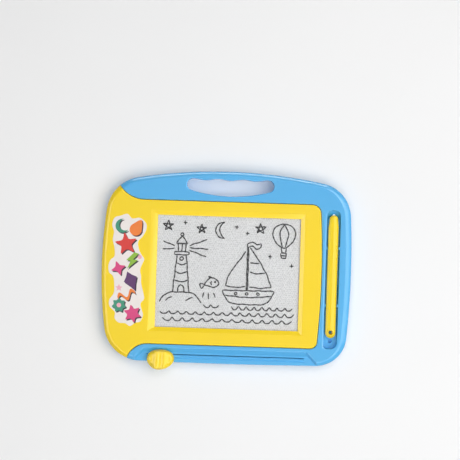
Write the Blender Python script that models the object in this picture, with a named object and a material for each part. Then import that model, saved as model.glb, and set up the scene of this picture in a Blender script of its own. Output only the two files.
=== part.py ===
"""Magnetic drawing board, lying on its back with the drawing face up.

The origin is on the back face, under the centre of the drawing window. +X runs to the right of the
drawing, +Y runs towards the carrying handle and +Z runs up, out of the drawing face.
"""

import math

import bmesh
import bpy
from mathutils import Vector

MM = 0.001

# Drawing window and the bands of the case around it
WINDOW_WIDTH = 102.4 * MM
WINDOW_HEIGHT = 80.2 * MM
LEFT_FLANGE_WIDTH = 39.5 * MM
RIGHT_FLANGE_WIDTH = 15.8 * MM
TOP_FLANGE_WIDTH = 10.6 * MM
BOTTOM_FLANGE_WIDTH = 12.1 * MM
PEN_STRIP_WIDTH = 21.1 * MM
HANDLE_BAND_WIDTH = 21.8 * MM
CHANNEL_BAND_WIDTH = 12.5 * MM

# Case outline: four bowed sides joined by corner arcs
SIDE_BOW_RADIUS = 320 * MM
TOP_BOW_RADIUS = 360 * MM
BOTTOM_BOW_RADIUS = 3000 * MM
TOP_CORNER_RADIUS = 27 * MM
BOTTOM_CORNER_RADIUS = 23 * MM

# Case heights and walls
CASE_THICKNESS = 14 * MM
PARTING_HEIGHT = 5.5 * MM
WALL = 1.8 * MM
FRONT_RIM_RADIUS = 3.4 * MM
BACK_RIM_RADIUS = 2.2 * MM
JOIN_RIM_RADIUS = 0.7 * MM
SEAT_GAP = 0.3 * MM
OVERRUN = 2 * MM

# Edge of the yellow front where it meets the blue housing
JOIN_BOW_RADIUS = 620 * MM
JOIN_UPPER_CORNER_RADIUS = 6.5 * MM
JOIN_LOWER_CORNER_RADIUS = 5 * MM
UPPER_FLARE_RADIUS = 21.5 * MM
LOWER_FLARE_RADIUS = 15.5 * MM
UPPER_TIP_ANGLE = math.radians(131)
LOWER_TIP_ANGLE = math.radians(249)

# Yellow front: its plate, its sloping window edge and the frame that locates the panel
BEZEL_PLATE = 2.5 * MM
BEVEL_LEFT = 5.2 * MM
BEVEL_TOP = 3.8 * MM
BEVEL_RIGHT = 3.0 * MM
BEVEL_BOTTOM = 3.1 * MM
BEVEL_STEP = 0.5 * MM
LEDGE_WIDTH = 2.5 * MM
LEDGE_THICKNESS = 1.6 * MM
PANEL_FRAME_WALL = 1.5 * MM

# Magnetic panel, from the front film down to the back film
PANEL_MARGIN = 3 * MM
FILM_THICKNESS = 0.4 * MM
CORE_THICKNESS = 1.5 * MM
SEAL_WIDTH = 1.5 * MM
FILM_GAP = 0.15 * MM

# Carrying handle: the hand hole with its finger waves
HANDLE_BAR_WIDTH = 5.4 * MM
HANDLE_HOLE_LENGTH = 62.6 * MM
HANDLE_HOLE_DEPTH = 12.4 * MM
HANDLE_END_RADIUS = 4.3 * MM
FINGER_WAVE_HEIGHT = 0.5 * MM
FINGER_WAVES = 3

# Pen and its groove
PEN_LENGTH = 89.1 * MM
PEN_WIDTH = 7.1 * MM
PEN_THICKNESS = 6.4 * MM
PEN_FACET = 1.5 * MM
PEN_TAPER_LENGTH = 7 * MM
PEN_TIP_WIDTH = 5.2 * MM
PEN_HOLE_RADIUS = 1.5 * MM
PEN_HOLE_INSET = 3.9 * MM
PEN_MAGNET_RADIUS = 1.3 * MM
PEN_MAGNET_LENGTH = 5 * MM
PEN_MAGNET_REACH = 1.2 * MM
GROOVE_LAND = 3 * MM
GROOVE_SIDE_ROOM = 1.2 * MM
GROOVE_TOP_ROOM = 2.4 * MM
FINGER_ROOM = 7.8 * MM
GROOVE_BOTTOM_LAND = 12.7 * MM
GROOVE_LOWER_CORNER = 2.5 * MM
NUB_RADIUS = 0.9 * MM
NUB_HEIGHT = 1.6 * MM
NUB_SPREAD = 20.5 * MM
NUB_CENTRE_DROP = 0.5 * MM
TETHER_HOLE_RADIUS = 1.4 * MM
TETHER_HOLE_INSET = 5.3 * MM

# Eraser channel along the bottom edge, longer than the window so that the magnet clears its ends
CHANNEL_OVERHANG = 6.8 * MM
CHANNEL_LAND = 3.2 * MM
CHANNEL_DEPTH = 3 * MM
CHANNEL_STEP = 0.8 * MM
CHANNEL_SLOPE = 2.9 * MM
CHANNEL_FLOOR = 1.8 * MM
CHANNEL_FLOOR_ROOT = 0.45 * MM
SLOT_WIDTH = 2 * MM
SLOT_SETBACK = 4 * MM
SLOT_END_LAND = 1.5 * MM

# Eraser: knob, carrier and magnet bar
KNOB_WIDTH = 19.6 * MM
KNOB_UPPER_REACH = 6.7 * MM
KNOB_LOWER_REACH = 8.8 * MM
KNOB_OFFSET = 3 * MM
KNOB_LOBE_HEIGHT = 4.4 * MM
KNOB_RIB_HEIGHT = 8 * MM
KNOB_RIB_WIDTH = 6.8 * MM
KNOB_RIB_INSET = 0.8 * MM
KNOB_ROUND = 1.6 * MM
KNOB_UPPER_POWER = 2.3
KNOB_LOWER_POWER = 1.7
BLADE_LENGTH = 11 * MM
BLADE_THICKNESS = 1.4 * MM
BLADE_DEPTH = 6.4 * MM
CARRIER_WIDTH = 9 * MM
CARRIER_THICKNESS = 3.5 * MM
CARRIER_FOOT_LENGTH = 16 * MM
CARRIER_FOOT_WIDTH = 5.4 * MM
MAGNET_WIDTH = 6 * MM
MAGNET_THICKNESS = 2.7 * MM
MAGNET_POCKET_DEPTH = 2 * MM
KNOB_END_ROOM = 0.9 * MM
ERASER_REST_OFFSET = 1 * MM
RAIL_HEIGHT = 1.4 * MM
RAIL_WIDTH = 1.6 * MM
SUPPORT_RIB_WIDTH = 1.5 * MM
SUPPORT_RIB_CLEARANCE = 0.8 * MM

# Case screws, driven from the back
SCREW_RADIUS = 1 * MM
SCREW_LENGTH = 7.2 * MM
SCREW_HEAD_RADIUS = 2 * MM
SCREW_HEAD_HEIGHT = 1.4 * MM
SCREW_HEAD_DEPTH = 1.2 * MM
SCREW_CLEARANCE = 0.25 * MM
BOSS_RADIUS = 2.6 * MM
POST_RADIUS = 3.3 * MM
HANDLE_SCREW_OFFSET = 16.5 * MM
HANDLE_SCREW_DROP = 6.4 * MM
FLANGE_SCREW_OFFSET = 20.8 * MM
FLANGE_SCREW_INSET = 2 * MM
CORNER_SCREW_OFFSET = 7.8 * MM
CORNER_SCREW_RISE = 3.9 * MM
LOWER_SCREW_RISE = 6.6 * MM
LEFT_SCREW_OFFSET = 8.5 * MM
RIGHT_SCREW_OFFSET = 4.4 * MM

# Paper label on the left flange
LABEL_HALF_WIDTH = 13.2 * MM
LABEL_HALF_LENGTH = 40.2 * MM
LABEL_THICKNESS = 0.3 * MM
LABEL_GAP = 0.1 * MM
LABEL_OFFSET = 21.2 * MM
LABEL_OUTLINE_SHARES = (
    (0.12, 1.0), (0.72, 0.88), (1.0, 0.64), (0.72, 0.42), (0.84, 0.2), (1.0, -0.02), (0.76, -0.24),
    (0.9, -0.46), (1.0, -0.68), (0.62, -0.92), (0.0, -1.0), (-0.6, -0.92), (-0.96, -0.7),
    (-0.76, -0.48), (-0.98, -0.24), (-0.8, -0.02), (-0.7, 0.2), (-0.92, 0.4), (-1.0, 0.66), (-0.6, 0.9),
)

# Facets
SIDE_STEPS = 7
CORNER_STEPS = 7
SMALL_ARC_STEPS = 4
RIM_STEPS = 3
WAVE_STEPS = 8
ROUND_SIDES = 12
LABEL_STEPS = 3

# Places worked out from the sizes above
WINDOW_HALF_WIDTH = WINDOW_WIDTH / 2
WINDOW_HALF_HEIGHT = WINDOW_HEIGHT / 2
JOIN_RIGHT = WINDOW_HALF_WIDTH + RIGHT_FLANGE_WIDTH
JOIN_TOP = WINDOW_HALF_HEIGHT + TOP_FLANGE_WIDTH
JOIN_BOTTOM = -WINDOW_HALF_HEIGHT - BOTTOM_FLANGE_WIDTH
CASE_LEFT = -WINDOW_HALF_WIDTH - LEFT_FLANGE_WIDTH
CASE_RIGHT = JOIN_RIGHT + PEN_STRIP_WIDTH
CASE_TOP = JOIN_TOP + HANDLE_BAND_WIDTH
CASE_BOTTOM = JOIN_BOTTOM - CHANNEL_BAND_WIDTH
CASE_MIDDLE = Vector(((CASE_LEFT + CASE_RIGHT) / 2, (CASE_TOP + CASE_BOTTOM) / 2))

FRONT_BASE = PARTING_HEIGHT + SEAT_GAP
SKIN_BASE = CASE_THICKNESS - WALL
BEZEL_BASE = CASE_THICKNESS - BEZEL_PLATE
LEDGE_TOP = BEZEL_BASE - SEAT_GAP
LOWER_ROOM_TOP = LEDGE_TOP - LEDGE_THICKNESS - SEAT_GAP

PANEL_TOP = BEZEL_BASE - SEAT_GAP
CORE_TOP = PANEL_TOP - FILM_THICKNESS - FILM_GAP
CORE_BASE = CORE_TOP - CORE_THICKNESS
PANEL_BASE = CORE_BASE - FILM_GAP - FILM_THICKNESS
PANEL_HALF_WIDTH = WINDOW_HALF_WIDTH + PANEL_MARGIN
PANEL_HALF_HEIGHT = WINDOW_HALF_HEIGHT + PANEL_MARGIN

HANDLE_TOP = CASE_TOP - HANDLE_BAR_WIDTH

PEN_X = JOIN_RIGHT + GROOVE_LAND + GROOVE_SIDE_ROOM + PEN_WIDTH / 2
GROOVE_BOTTOM = CASE_BOTTOM + GROOVE_BOTTOM_LAND
PEN_BOTTOM = GROOVE_BOTTOM + FINGER_ROOM
PEN_TIP = PEN_BOTTOM + PEN_LENGTH
PEN_BARREL_TOP = PEN_TIP - PEN_MAGNET_REACH
GROOVE_TOP = PEN_TIP + GROOVE_TOP_ROOM
GROOVE_HALF_WIDTH = PEN_WIDTH / 2 + GROOVE_SIDE_ROOM
GROOVE_FLOOR = FRONT_BASE + WALL
PEN_BASE = GROOVE_FLOOR + SEAT_GAP
PEN_AXIS_HEIGHT = PEN_BASE + PEN_THICKNESS / 2

CHANNEL_LENGTH = WINDOW_WIDTH + 2 * CHANNEL_OVERHANG
CHANNEL_TOP = JOIN_BOTTOM - CHANNEL_LAND
CHANNEL_HEIGHT = CASE_THICKNESS - CHANNEL_DEPTH
SLOT_Y = CHANNEL_TOP - SLOT_SETBACK
ERASER_TRAVEL = CHANNEL_LENGTH - KNOB_WIDTH - 2 * KNOB_END_ROOM

CARRIER_BASE = WALL + RAIL_HEIGHT + SEAT_GAP
CARRIER_TOP = CARRIER_BASE + CARRIER_THICKNESS
MAGNET_BASE = CARRIER_TOP - MAGNET_POCKET_DEPTH + SEAT_GAP
ERASER_REST_X = -ERASER_TRAVEL / 2 + ERASER_REST_OFFSET
KNOB_BASE = CHANNEL_HEIGHT + SEAT_GAP
KNOB_Y = SLOT_Y - KNOB_OFFSET
SUPPORT_RIB_X = ERASER_TRAVEL / 2 + CARRIER_WIDTH / 2 + SUPPORT_RIB_CLEARANCE + SUPPORT_RIB_WIDTH / 2

SCREW_SEAT = SCREW_HEAD_DEPTH + SCREW_HEAD_HEIGHT
SCREW_TIP = SCREW_SEAT + SCREW_LENGTH
HANDLE_SCREW_X = HANDLE_HOLE_LENGTH / 2 + HANDLE_SCREW_OFFSET
LABEL_MIDDLE = Vector((-WINDOW_HALF_WIDTH - LABEL_OFFSET, 0))

BLUE = ("blue_shell", (0.078, 0.456, 0.855, 1), 0.28, 0)
YELLOW = ("yellow_shell", (0.947, 0.674, 0.042, 1), 0.28, 0)
FILM = ("clear_film", (0.66, 0.66, 0.67, 1), 0.15, 0)
CELLS = ("panel_cells", (0.58, 0.58, 0.58, 1), 0.6, 0)
SEAL = ("panel_seal", (0.7, 0.7, 0.68, 1), 0.6, 0)
DARK_MAGNET = ("eraser_magnet", (0.03, 0.03, 0.035, 1), 0.5, 0.2)
WHITE_PLASTIC = ("inner_plastic", (0.8, 0.8, 0.78, 1), 0.5, 0)
STEEL = ("screw_steel", (0.56, 0.57, 0.58, 1), 0.35, 1)
MAGNET_STEEL = ("pen_magnet", (0.75, 0.75, 0.76, 1), 0.25, 1)
LABEL_PAPER = ("label_paper", (0.8, 0.74, 0.71, 1), 0.5, 0)


def clear_scene():
    """Remove whatever the file holds before the model is made."""
    for item in list(bpy.data.objects):
        bpy.data.objects.remove(item)


def finish(spec):
    """The material named in spec, made once: its colour, roughness and metallic value."""
    name, colour, roughness, metallic = spec
    material = bpy.data.materials.get(name)
    if material is None:
        material = bpy.data.materials.new(name)
        material.use_nodes = True
        shader = material.node_tree.nodes["Principled BSDF"]
        shader.inputs["Base Color"].default_value = colour
        shader.inputs["Roughness"].default_value = roughness
        shader.inputs["Metallic"].default_value = metallic
    return material


def add_piece(name, shape, spec=None):
    """Turn a bmesh into an object; without a material it is a hidden tool for a Boolean."""
    bmesh.ops.recalc_face_normals(shape, faces=shape.faces)
    mesh = bpy.data.meshes.new(name)
    shape.to_mesh(mesh)
    shape.free()
    mesh.shade_smooth()
    mesh.set_sharp_from_angle(angle=math.radians(30))
    piece = bpy.data.objects.new(name, mesh)
    bpy.context.collection.objects.link(piece)
    if spec is None:
        piece.hide_render = True
        piece.display_type = "WIRE"
    else:
        mesh.materials.append(finish(spec))
    return piece


def combine(piece, tool, operation):
    """Join a hidden tool to a piece, or cut it out of the piece."""
    step = piece.modifiers.new(tool.name, "BOOLEAN")
    step.object = tool
    step.operation = operation
    step.solver = "EXACT"


def meeting_point(centre_a, radius_a, centre_b, radius_b, towards):
    """Where two circles meet; of the two points, the one that lies further towards a direction."""
    line = centre_b - centre_a
    along = (radius_a ** 2 - radius_b ** 2 + line.length_squared) / (2 * line.length)
    across = math.sqrt(max(radius_a ** 2 - along ** 2, 0))
    unit = line.normalized()
    foot = centre_a + unit * along
    side = Vector((-unit.y, unit.x)) * across
    return max(foot + side, foot - side, key=lambda point: point.dot(towards))


def angle_of(vector):
    """The angle of a plane vector from +X."""
    return math.atan2(vector.y, vector.x)


def arc(centre, radius, start, end, steps, clockwise=False):
    """Points of an arc from one angle to another, both ends included."""
    sweep = (start - end) % math.tau if clockwise else (end - start) % math.tau
    turn = -sweep / steps if clockwise else sweep / steps
    angles = [start + turn * index for index in range(steps + 1)]
    return [centre + radius * Vector((math.cos(angle), math.sin(angle))) for angle in angles]


def lifted(points, height):
    """Plane points placed at one height."""
    return [Vector((point.x, point.y, height)) for point in points]


def plate(rings):
    """A solid drawn up through rings of equal length, the lowest first."""
    shape = bmesh.new()
    base = [shape.verts.new(point) for point in rings[0]]
    cap = shape.faces.new(base)
    for ring in rings[1:]:
        cap = bmesh.ops.extrude_discrete_faces(shape, faces=[cap])["faces"][0]
        for corner, point in zip(cap.verts, ring):
            corner.co = point
    shape.faces.new(base)
    return shape


def slab(points, low, high):
    """A straight-sided solid over a plane outline."""
    return plate([lifted(points, low), lifted(points, high)])


def rectangle(left, right, bottom, top):
    """The four corners of an upright rectangle."""
    return [Vector(corner) for corner in ((left, bottom), (right, bottom), (right, top), (left, top))]


def rounded_rectangle(left, right, bottom, top, radius):
    """A rectangle with round corners."""
    low_right = arc(Vector((right - radius, bottom + radius)), radius, -math.pi / 2, 0, SMALL_ARC_STEPS)
    top_right = arc(Vector((right - radius, top - radius)), radius, 0, math.pi / 2, SMALL_ARC_STEPS)
    top_left = arc(Vector((left + radius, top - radius)), radius, math.pi / 2, math.pi, SMALL_ARC_STEPS)
    low_left = arc(Vector((left + radius, bottom + radius)), radius, math.pi, -math.pi / 2, SMALL_ARC_STEPS)
    return low_right + top_right + top_left + low_left


def upright_cylinders(places, radius, low, high):
    """One mesh with a cylinder at each plane place; the cylinders don't touch each other."""
    shape = bmesh.new()
    for place in places:
        made = bmesh.ops.create_cone(
            shape, cap_ends=True, segments=ROUND_SIDES, radius1=radius, radius2=radius, depth=high - low)
        middle = Vector((place.x, place.y, (low + high) / 2))
        bmesh.ops.translate(shape, verts=made["verts"], vec=middle)
    return shape


def blocks(boxes):
    """One mesh with a straight block for each (left, right, bottom, top, low, high)."""
    shape = bmesh.new()
    for left, right, bottom, top, low, high in boxes:
        base = [shape.verts.new(point) for point in lifted(rectangle(left, right, bottom, top), low)]
        cap = shape.faces.new(base)
        cap = bmesh.ops.extrude_discrete_faces(shape, faces=[cap])["faces"][0]
        bmesh.ops.translate(shape, verts=list(cap.verts), vec=Vector((0, 0, high - low)))
        shape.faces.new(base)
    return shape


def rim_steps(radius):
    """(inset, drop) pairs up a quarter round, from the side of a plate to its face."""
    pairs = []
    for index in range(RIM_STEPS + 1):
        angle = math.pi / 2 * index / RIM_STEPS
        pairs.append((radius * (1 - math.cos(angle)), radius * (1 - math.sin(angle))))
    return pairs


SIDE_CENTRES = {
    "right": Vector((CASE_RIGHT - SIDE_BOW_RADIUS, CASE_MIDDLE.y)),
    "top": Vector((CASE_MIDDLE.x, CASE_TOP - TOP_BOW_RADIUS)),
    "left": Vector((CASE_LEFT + SIDE_BOW_RADIUS, CASE_MIDDLE.y)),
    "bottom": Vector((CASE_MIDDLE.x, CASE_BOTTOM + BOTTOM_BOW_RADIUS)),
}
SIDE_RADII = {
    "right": SIDE_BOW_RADIUS, "top": TOP_BOW_RADIUS, "left": SIDE_BOW_RADIUS, "bottom": BOTTOM_BOW_RADIUS,
}
CORNERS = {
    "top_right": ("right", "top", TOP_CORNER_RADIUS, Vector((1, 1))),
    "top_left": ("top", "left", TOP_CORNER_RADIUS, Vector((-1, 1))),
    "bottom_left": ("left", "bottom", BOTTOM_CORNER_RADIUS, Vector((-1, -1))),
    "bottom_right": ("bottom", "right", BOTTOM_CORNER_RADIUS, Vector((1, -1))),
}


def corner_centre(corner):
    """Centre of a corner arc that runs smoothly into the two bowed sides beside it."""
    first, second, radius, towards = CORNERS[corner]
    return meeting_point(SIDE_CENTRES[first], SIDE_RADII[first] - radius,
                         SIDE_CENTRES[second], SIDE_RADII[second] - radius, towards)


def corner_arc(corner, inset, start=None, end=None):
    """A corner arc moved in by inset, whole or from one of its own angles to another."""
    first, second, radius, _ = CORNERS[corner]
    centre = corner_centre(corner)
    if start is None:
        start = angle_of(centre - SIDE_CENTRES[first])
    if end is None:
        end = angle_of(centre - SIDE_CENTRES[second])
    return arc(centre, radius - inset, start, end, CORNER_STEPS)


def side_arc(side, corner_before, corner_after, inset):
    """The inner points of a bowed side, between the corner arcs at its ends."""
    centre = SIDE_CENTRES[side]
    start = angle_of(corner_centre(corner_before) - centre)
    end = angle_of(corner_centre(corner_after) - centre)
    return arc(centre, SIDE_RADII[side] - inset, start, end, SIDE_STEPS)[1:-1]


def case_outline(inset=0):
    """The whole outline of the case, anticlockwise, moved in by inset."""
    return (
        side_arc("right", "bottom_right", "top_right", inset) + corner_arc("top_right", inset)
        + side_arc("top", "top_right", "top_left", inset) + corner_arc("top_left", inset)
        + side_arc("left", "top_left", "bottom_left", inset) + corner_arc("bottom_left", inset)
        + side_arc("bottom", "bottom_left", "bottom_right", inset) + corner_arc("bottom_right", inset)
    )


def flare_centre(corner, corner_radius, tip_angle, level, radius):
    """Centre of the arc that sweeps a level edge of the join out to the case outline.

    The arc touches the level edge and passes through the point of the corner arc at tip_angle.
    """
    tip = corner_centre(corner) + corner_radius * Vector((math.cos(tip_angle), math.sin(tip_angle)))
    rise = radius if level > 0 else -radius
    middle = level + rise
    return Vector((tip.x + math.sqrt(radius ** 2 - (tip.y - middle) ** 2), middle))


UPPER_FLARE = flare_centre("top_left", TOP_CORNER_RADIUS, UPPER_TIP_ANGLE, JOIN_TOP, UPPER_FLARE_RADIUS)
LOWER_FLARE = flare_centre(
    "bottom_left", BOTTOM_CORNER_RADIUS, LOWER_TIP_ANGLE, JOIN_BOTTOM, LOWER_FLARE_RADIUS)


def upper_tip(inset, grow):
    """Where the join, moved out by grow, meets the upper left corner of the case."""
    return meeting_point(corner_centre("top_left"), TOP_CORNER_RADIUS - inset,
                         UPPER_FLARE, UPPER_FLARE_RADIUS - grow, Vector((-1, 0)))


def lower_tip(inset, grow):
    """Where the join, moved out by grow, meets the lower left corner of the case."""
    return meeting_point(corner_centre("bottom_left"), BOTTOM_CORNER_RADIUS - inset,
                         LOWER_FLARE, LOWER_FLARE_RADIUS - grow, Vector((-1, 0)))


def join_right(grow):
    """The join from the lower flare, round its right side, to the upper flare."""
    bow_centre = Vector((JOIN_RIGHT - JOIN_BOW_RADIUS, 0))
    corners = []
    for radius, level, side in (
            (JOIN_LOWER_CORNER_RADIUS, JOIN_BOTTOM, 1), (JOIN_UPPER_CORNER_RADIUS, JOIN_TOP, -1)):
        middle = level + side * radius
        reach = math.sqrt((JOIN_BOW_RADIUS - radius) ** 2 - middle ** 2)
        corners.append(Vector((bow_centre.x + reach, middle)))
    lower, upper = corners
    low_angle = angle_of(lower - bow_centre)
    high_angle = angle_of(upper - bow_centre)
    return (
        arc(lower, JOIN_LOWER_CORNER_RADIUS + grow, -math.pi / 2, low_angle, SMALL_ARC_STEPS)
        + arc(bow_centre, JOIN_BOW_RADIUS + grow, low_angle, high_angle, SIDE_STEPS)[1:-1]
        + arc(upper, JOIN_UPPER_CORNER_RADIUS + grow, high_angle, math.pi / 2, SMALL_ARC_STEPS)
    )


def join_edge(inset, grow):
    """The whole join, from the lower tip round the right side to the upper tip."""
    low = lower_tip(inset, grow)
    high = upper_tip(inset, grow)
    lower = arc(LOWER_FLARE, LOWER_FLARE_RADIUS - grow, angle_of(low - LOWER_FLARE), math.pi / 2,
                CORNER_STEPS, clockwise=True)
    upper = arc(UPPER_FLARE, UPPER_FLARE_RADIUS - grow, -math.pi / 2, angle_of(high - UPPER_FLARE),
                CORNER_STEPS, clockwise=True)
    return lower + join_right(grow) + upper


def left_run(inset, grow):
    """The case outline over the left side, between the tips, without them."""
    start = angle_of(upper_tip(inset, grow) - corner_centre("top_left"))
    end = angle_of(lower_tip(inset, grow) - corner_centre("bottom_left"))
    return (
        corner_arc("top_left", inset, start=start)[1:]
        + side_arc("left", "top_left", "bottom_left", inset)
        + corner_arc("bottom_left", inset, end=end)[:-1]
    )


def right_run(inset, grow):
    """The case outline over the bottom, right side and top, between the tips, without them."""
    start = angle_of(lower_tip(inset, grow) - corner_centre("bottom_left"))
    end = angle_of(upper_tip(inset, grow) - corner_centre("top_left"))
    return (
        corner_arc("bottom_left", inset, start=start)[1:]
        + side_arc("bottom", "bottom_left", "bottom_right", inset) + corner_arc("bottom_right", inset)
        + side_arc("right", "bottom_right", "top_right", inset) + corner_arc("top_right", inset)
        + side_arc("top", "top_right", "top_left", inset)
        + corner_arc("top_left", inset, end=end)[:-1]
    )


def front_rings(run, edge_order, grow, edge_grow_sign):
    """Rings of a front shell, whose case side and join side are rounded by different radii."""
    rings = [lifted(run(0, grow) + edge_order(join_edge(0, grow)), FRONT_BASE)]
    steps = zip(rim_steps(FRONT_RIM_RADIUS), rim_steps(JOIN_RIM_RADIUS))
    for (inset, drop), (join_inset, join_drop) in steps:
        join_grow = grow + edge_grow_sign * join_inset
        outer = lifted(run(inset, join_grow), CASE_THICKNESS - drop)
        inner = lifted(edge_order(join_edge(inset, join_grow)), CASE_THICKNESS - join_drop)
        rings.append(outer + inner)
    return rings


def reversed_list(points):
    """The same points the other way round."""
    return points[::-1]


def housing_plan(inset, grow):
    """Plan of the blue housing, moved in from the case outline and away from the join."""
    return right_run(inset, grow) + reversed_list(join_edge(inset, grow))


def handle_hole(grow=0):
    """The hand hole: a bowed lower edge, round ends and a wavy upper edge for the fingers."""
    end_x = HANDLE_HOLE_LENGTH / 2 - HANDLE_END_RADIUS
    end_y = HANDLE_TOP - HANDLE_END_RADIUS
    depth = HANDLE_HOLE_DEPTH - HANDLE_END_RADIUS
    bow = (end_x ** 2 + depth ** 2 - HANDLE_END_RADIUS ** 2) / (2 * (depth - HANDLE_END_RADIUS))
    bow_centre = Vector((0, HANDLE_TOP - HANDLE_HOLE_DEPTH + bow))
    right = Vector((end_x, end_y))
    left = Vector((-end_x, end_y))
    start = angle_of(left - bow_centre)
    end = angle_of(right - bow_centre)
    lower = arc(bow_centre, bow + grow, start, end, SIDE_STEPS)[1:-1]
    right_end = arc(right, HANDLE_END_RADIUS + grow, end, math.pi / 2, CORNER_STEPS)
    left_end = arc(left, HANDLE_END_RADIUS + grow, math.pi / 2, start, CORNER_STEPS)
    waves = []
    count = FINGER_WAVES * WAVE_STEPS
    for index in range(1, count):
        share = index / count
        height = FINGER_WAVE_HEIGHT * (math.cos(math.tau * FINGER_WAVES * share) - 1)
        waves.append(Vector((end_x * (1 - 2 * share), HANDLE_TOP + grow + height)))
    return lower + right_end + waves + left_end


def groove_plan(grow=0):
    """The pen groove: a round upper end and a squarer lower end."""
    reach = GROOVE_HALF_WIDTH + grow
    upper = arc(Vector((PEN_X, GROOVE_TOP - GROOVE_HALF_WIDTH)), reach, 0, math.pi, 2 * SMALL_ARC_STEPS)
    corner = GROOVE_LOWER_CORNER + grow
    level = GROOVE_BOTTOM + GROOVE_LOWER_CORNER
    inner = GROOVE_HALF_WIDTH - GROOVE_LOWER_CORNER
    left = arc(Vector((PEN_X - inner, level)), corner, math.pi, -math.pi / 2, SMALL_ARC_STEPS)
    right = arc(Vector((PEN_X + inner, level)), corner, -math.pi / 2, 0, SMALL_ARC_STEPS)
    return upper + left + right


def channel_plan(grow, bottom, drop=0):
    """The eraser channel down to a given level, its upper edge lowered by drop between the slanting ends."""
    top = CHANNEL_TOP + grow - drop
    half = CHANNEL_LENGTH / 2 + grow / 2 + drop
    slant = top - bottom
    corners = ((-half - slant, bottom), (half + slant, bottom), (half, top), (-half, top))
    return [Vector(corner) for corner in corners]


def bezel_screw_places():
    """Screws that hold the yellow front: two under the label and two right of the window."""
    left = -WINDOW_HALF_WIDTH - FLANGE_SCREW_OFFSET
    right = WINDOW_HALF_WIDTH + CORNER_SCREW_OFFSET
    inner = WINDOW_HALF_HEIGHT - FLANGE_SCREW_INSET
    outer = WINDOW_HALF_HEIGHT + CORNER_SCREW_RISE
    return [Vector(place) for place in ((left, inner), (left, -inner), (right, outer), (right, -outer))]


def housing_screw_places():
    """Screws that hold the blue housing: two beside the handle and one in each lower corner."""
    top = HANDLE_TOP - HANDLE_SCREW_DROP
    low = CASE_BOTTOM + LOWER_SCREW_RISE
    left = -CHANNEL_LENGTH / 2 - LEFT_SCREW_OFFSET
    right = PEN_X - RIGHT_SCREW_OFFSET
    places = ((-HANDLE_SCREW_X, top), (HANDLE_SCREW_X, top), (left, low), (right, low))
    return [Vector(place) for place in places]


def pilot_holes(places):
    """Holes for the screw shafts in the bosses of a front shell."""
    return upright_cylinders(
        places, SCREW_RADIUS + SCREW_CLEARANCE, FRONT_BASE - OVERRUN, SCREW_TIP + SEAT_GAP)


def make_back_cover():
    """The shallow rear tray with its screw posts, rails for the eraser and ribs under the panel."""
    rings = [lifted(case_outline(inset), drop) for inset, drop in reversed_list(rim_steps(BACK_RIM_RADIUS))]
    rings.append(lifted(case_outline(), PARTING_HEIGHT))
    cover = add_piece("back_cover", plate(rings), BLUE)

    room = slab(case_outline(WALL), WALL, PARTING_HEIGHT + OVERRUN)
    combine(cover, add_piece("cut_tray_room", room), "DIFFERENCE")
    root = WALL / 2
    tube = slab(handle_hole(WALL), root, PARTING_HEIGHT)
    combine(cover, add_piece("join_tray_handle_tube", tube), "UNION")
    places = bezel_screw_places() + housing_screw_places()
    posts = upright_cylinders(places, POST_RADIUS, root, PARTING_HEIGHT)
    combine(cover, add_piece("join_tray_posts", posts), "UNION")
    combine(cover, add_piece("join_tray_ribs", tray_ribs(root)), "UNION")

    hole = slab(handle_hole(), -OVERRUN, PARTING_HEIGHT + OVERRUN)
    combine(cover, add_piece("cut_tray_handle", hole), "DIFFERENCE")
    sinks = upright_cylinders(places, SCREW_HEAD_RADIUS + SCREW_CLEARANCE, -OVERRUN, SCREW_SEAT + SEAT_GAP)
    combine(cover, add_piece("cut_tray_sinks", sinks), "DIFFERENCE")
    bores = upright_cylinders(places, SCREW_RADIUS + SCREW_CLEARANCE, 0, PARTING_HEIGHT + OVERRUN)
    combine(cover, add_piece("cut_tray_bores", bores), "DIFFERENCE")


def tray_ribs(root):
    """Two rails that the eraser slides on, and ribs that hold up the panel on three sides."""
    half_length = CARRIER_FOOT_LENGTH / 2 + ERASER_TRAVEL / 2
    rail_top = WALL + RAIL_HEIGHT
    upper_rail = PANEL_HALF_HEIGHT - PANEL_MARGIN - RAIL_WIDTH
    lower_rail = JOIN_BOTTOM + RAIL_WIDTH
    rib_top = PANEL_BASE - SEAT_GAP
    rib_half = SUPPORT_RIB_WIDTH / 2
    side_reach = WINDOW_HALF_HEIGHT - PANEL_MARGIN
    top_middle = PANEL_HALF_HEIGHT - SUPPORT_RIB_WIDTH / 2
    top_reach = WINDOW_HALF_WIDTH - PANEL_MARGIN
    rail_half = RAIL_WIDTH / 2
    boxes = []
    for level in (lower_rail, upper_rail):
        boxes.append((-half_length, half_length, level - rail_half, level + rail_half, root, rail_top))
    for side in (-1, 1):
        middle = side * SUPPORT_RIB_X
        boxes.append((middle - rib_half, middle + rib_half, -side_reach, side_reach, root, rib_top))
    boxes.append((-top_reach, top_reach, top_middle - rib_half, top_middle + rib_half, root, rib_top))
    return blocks(boxes)


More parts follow.
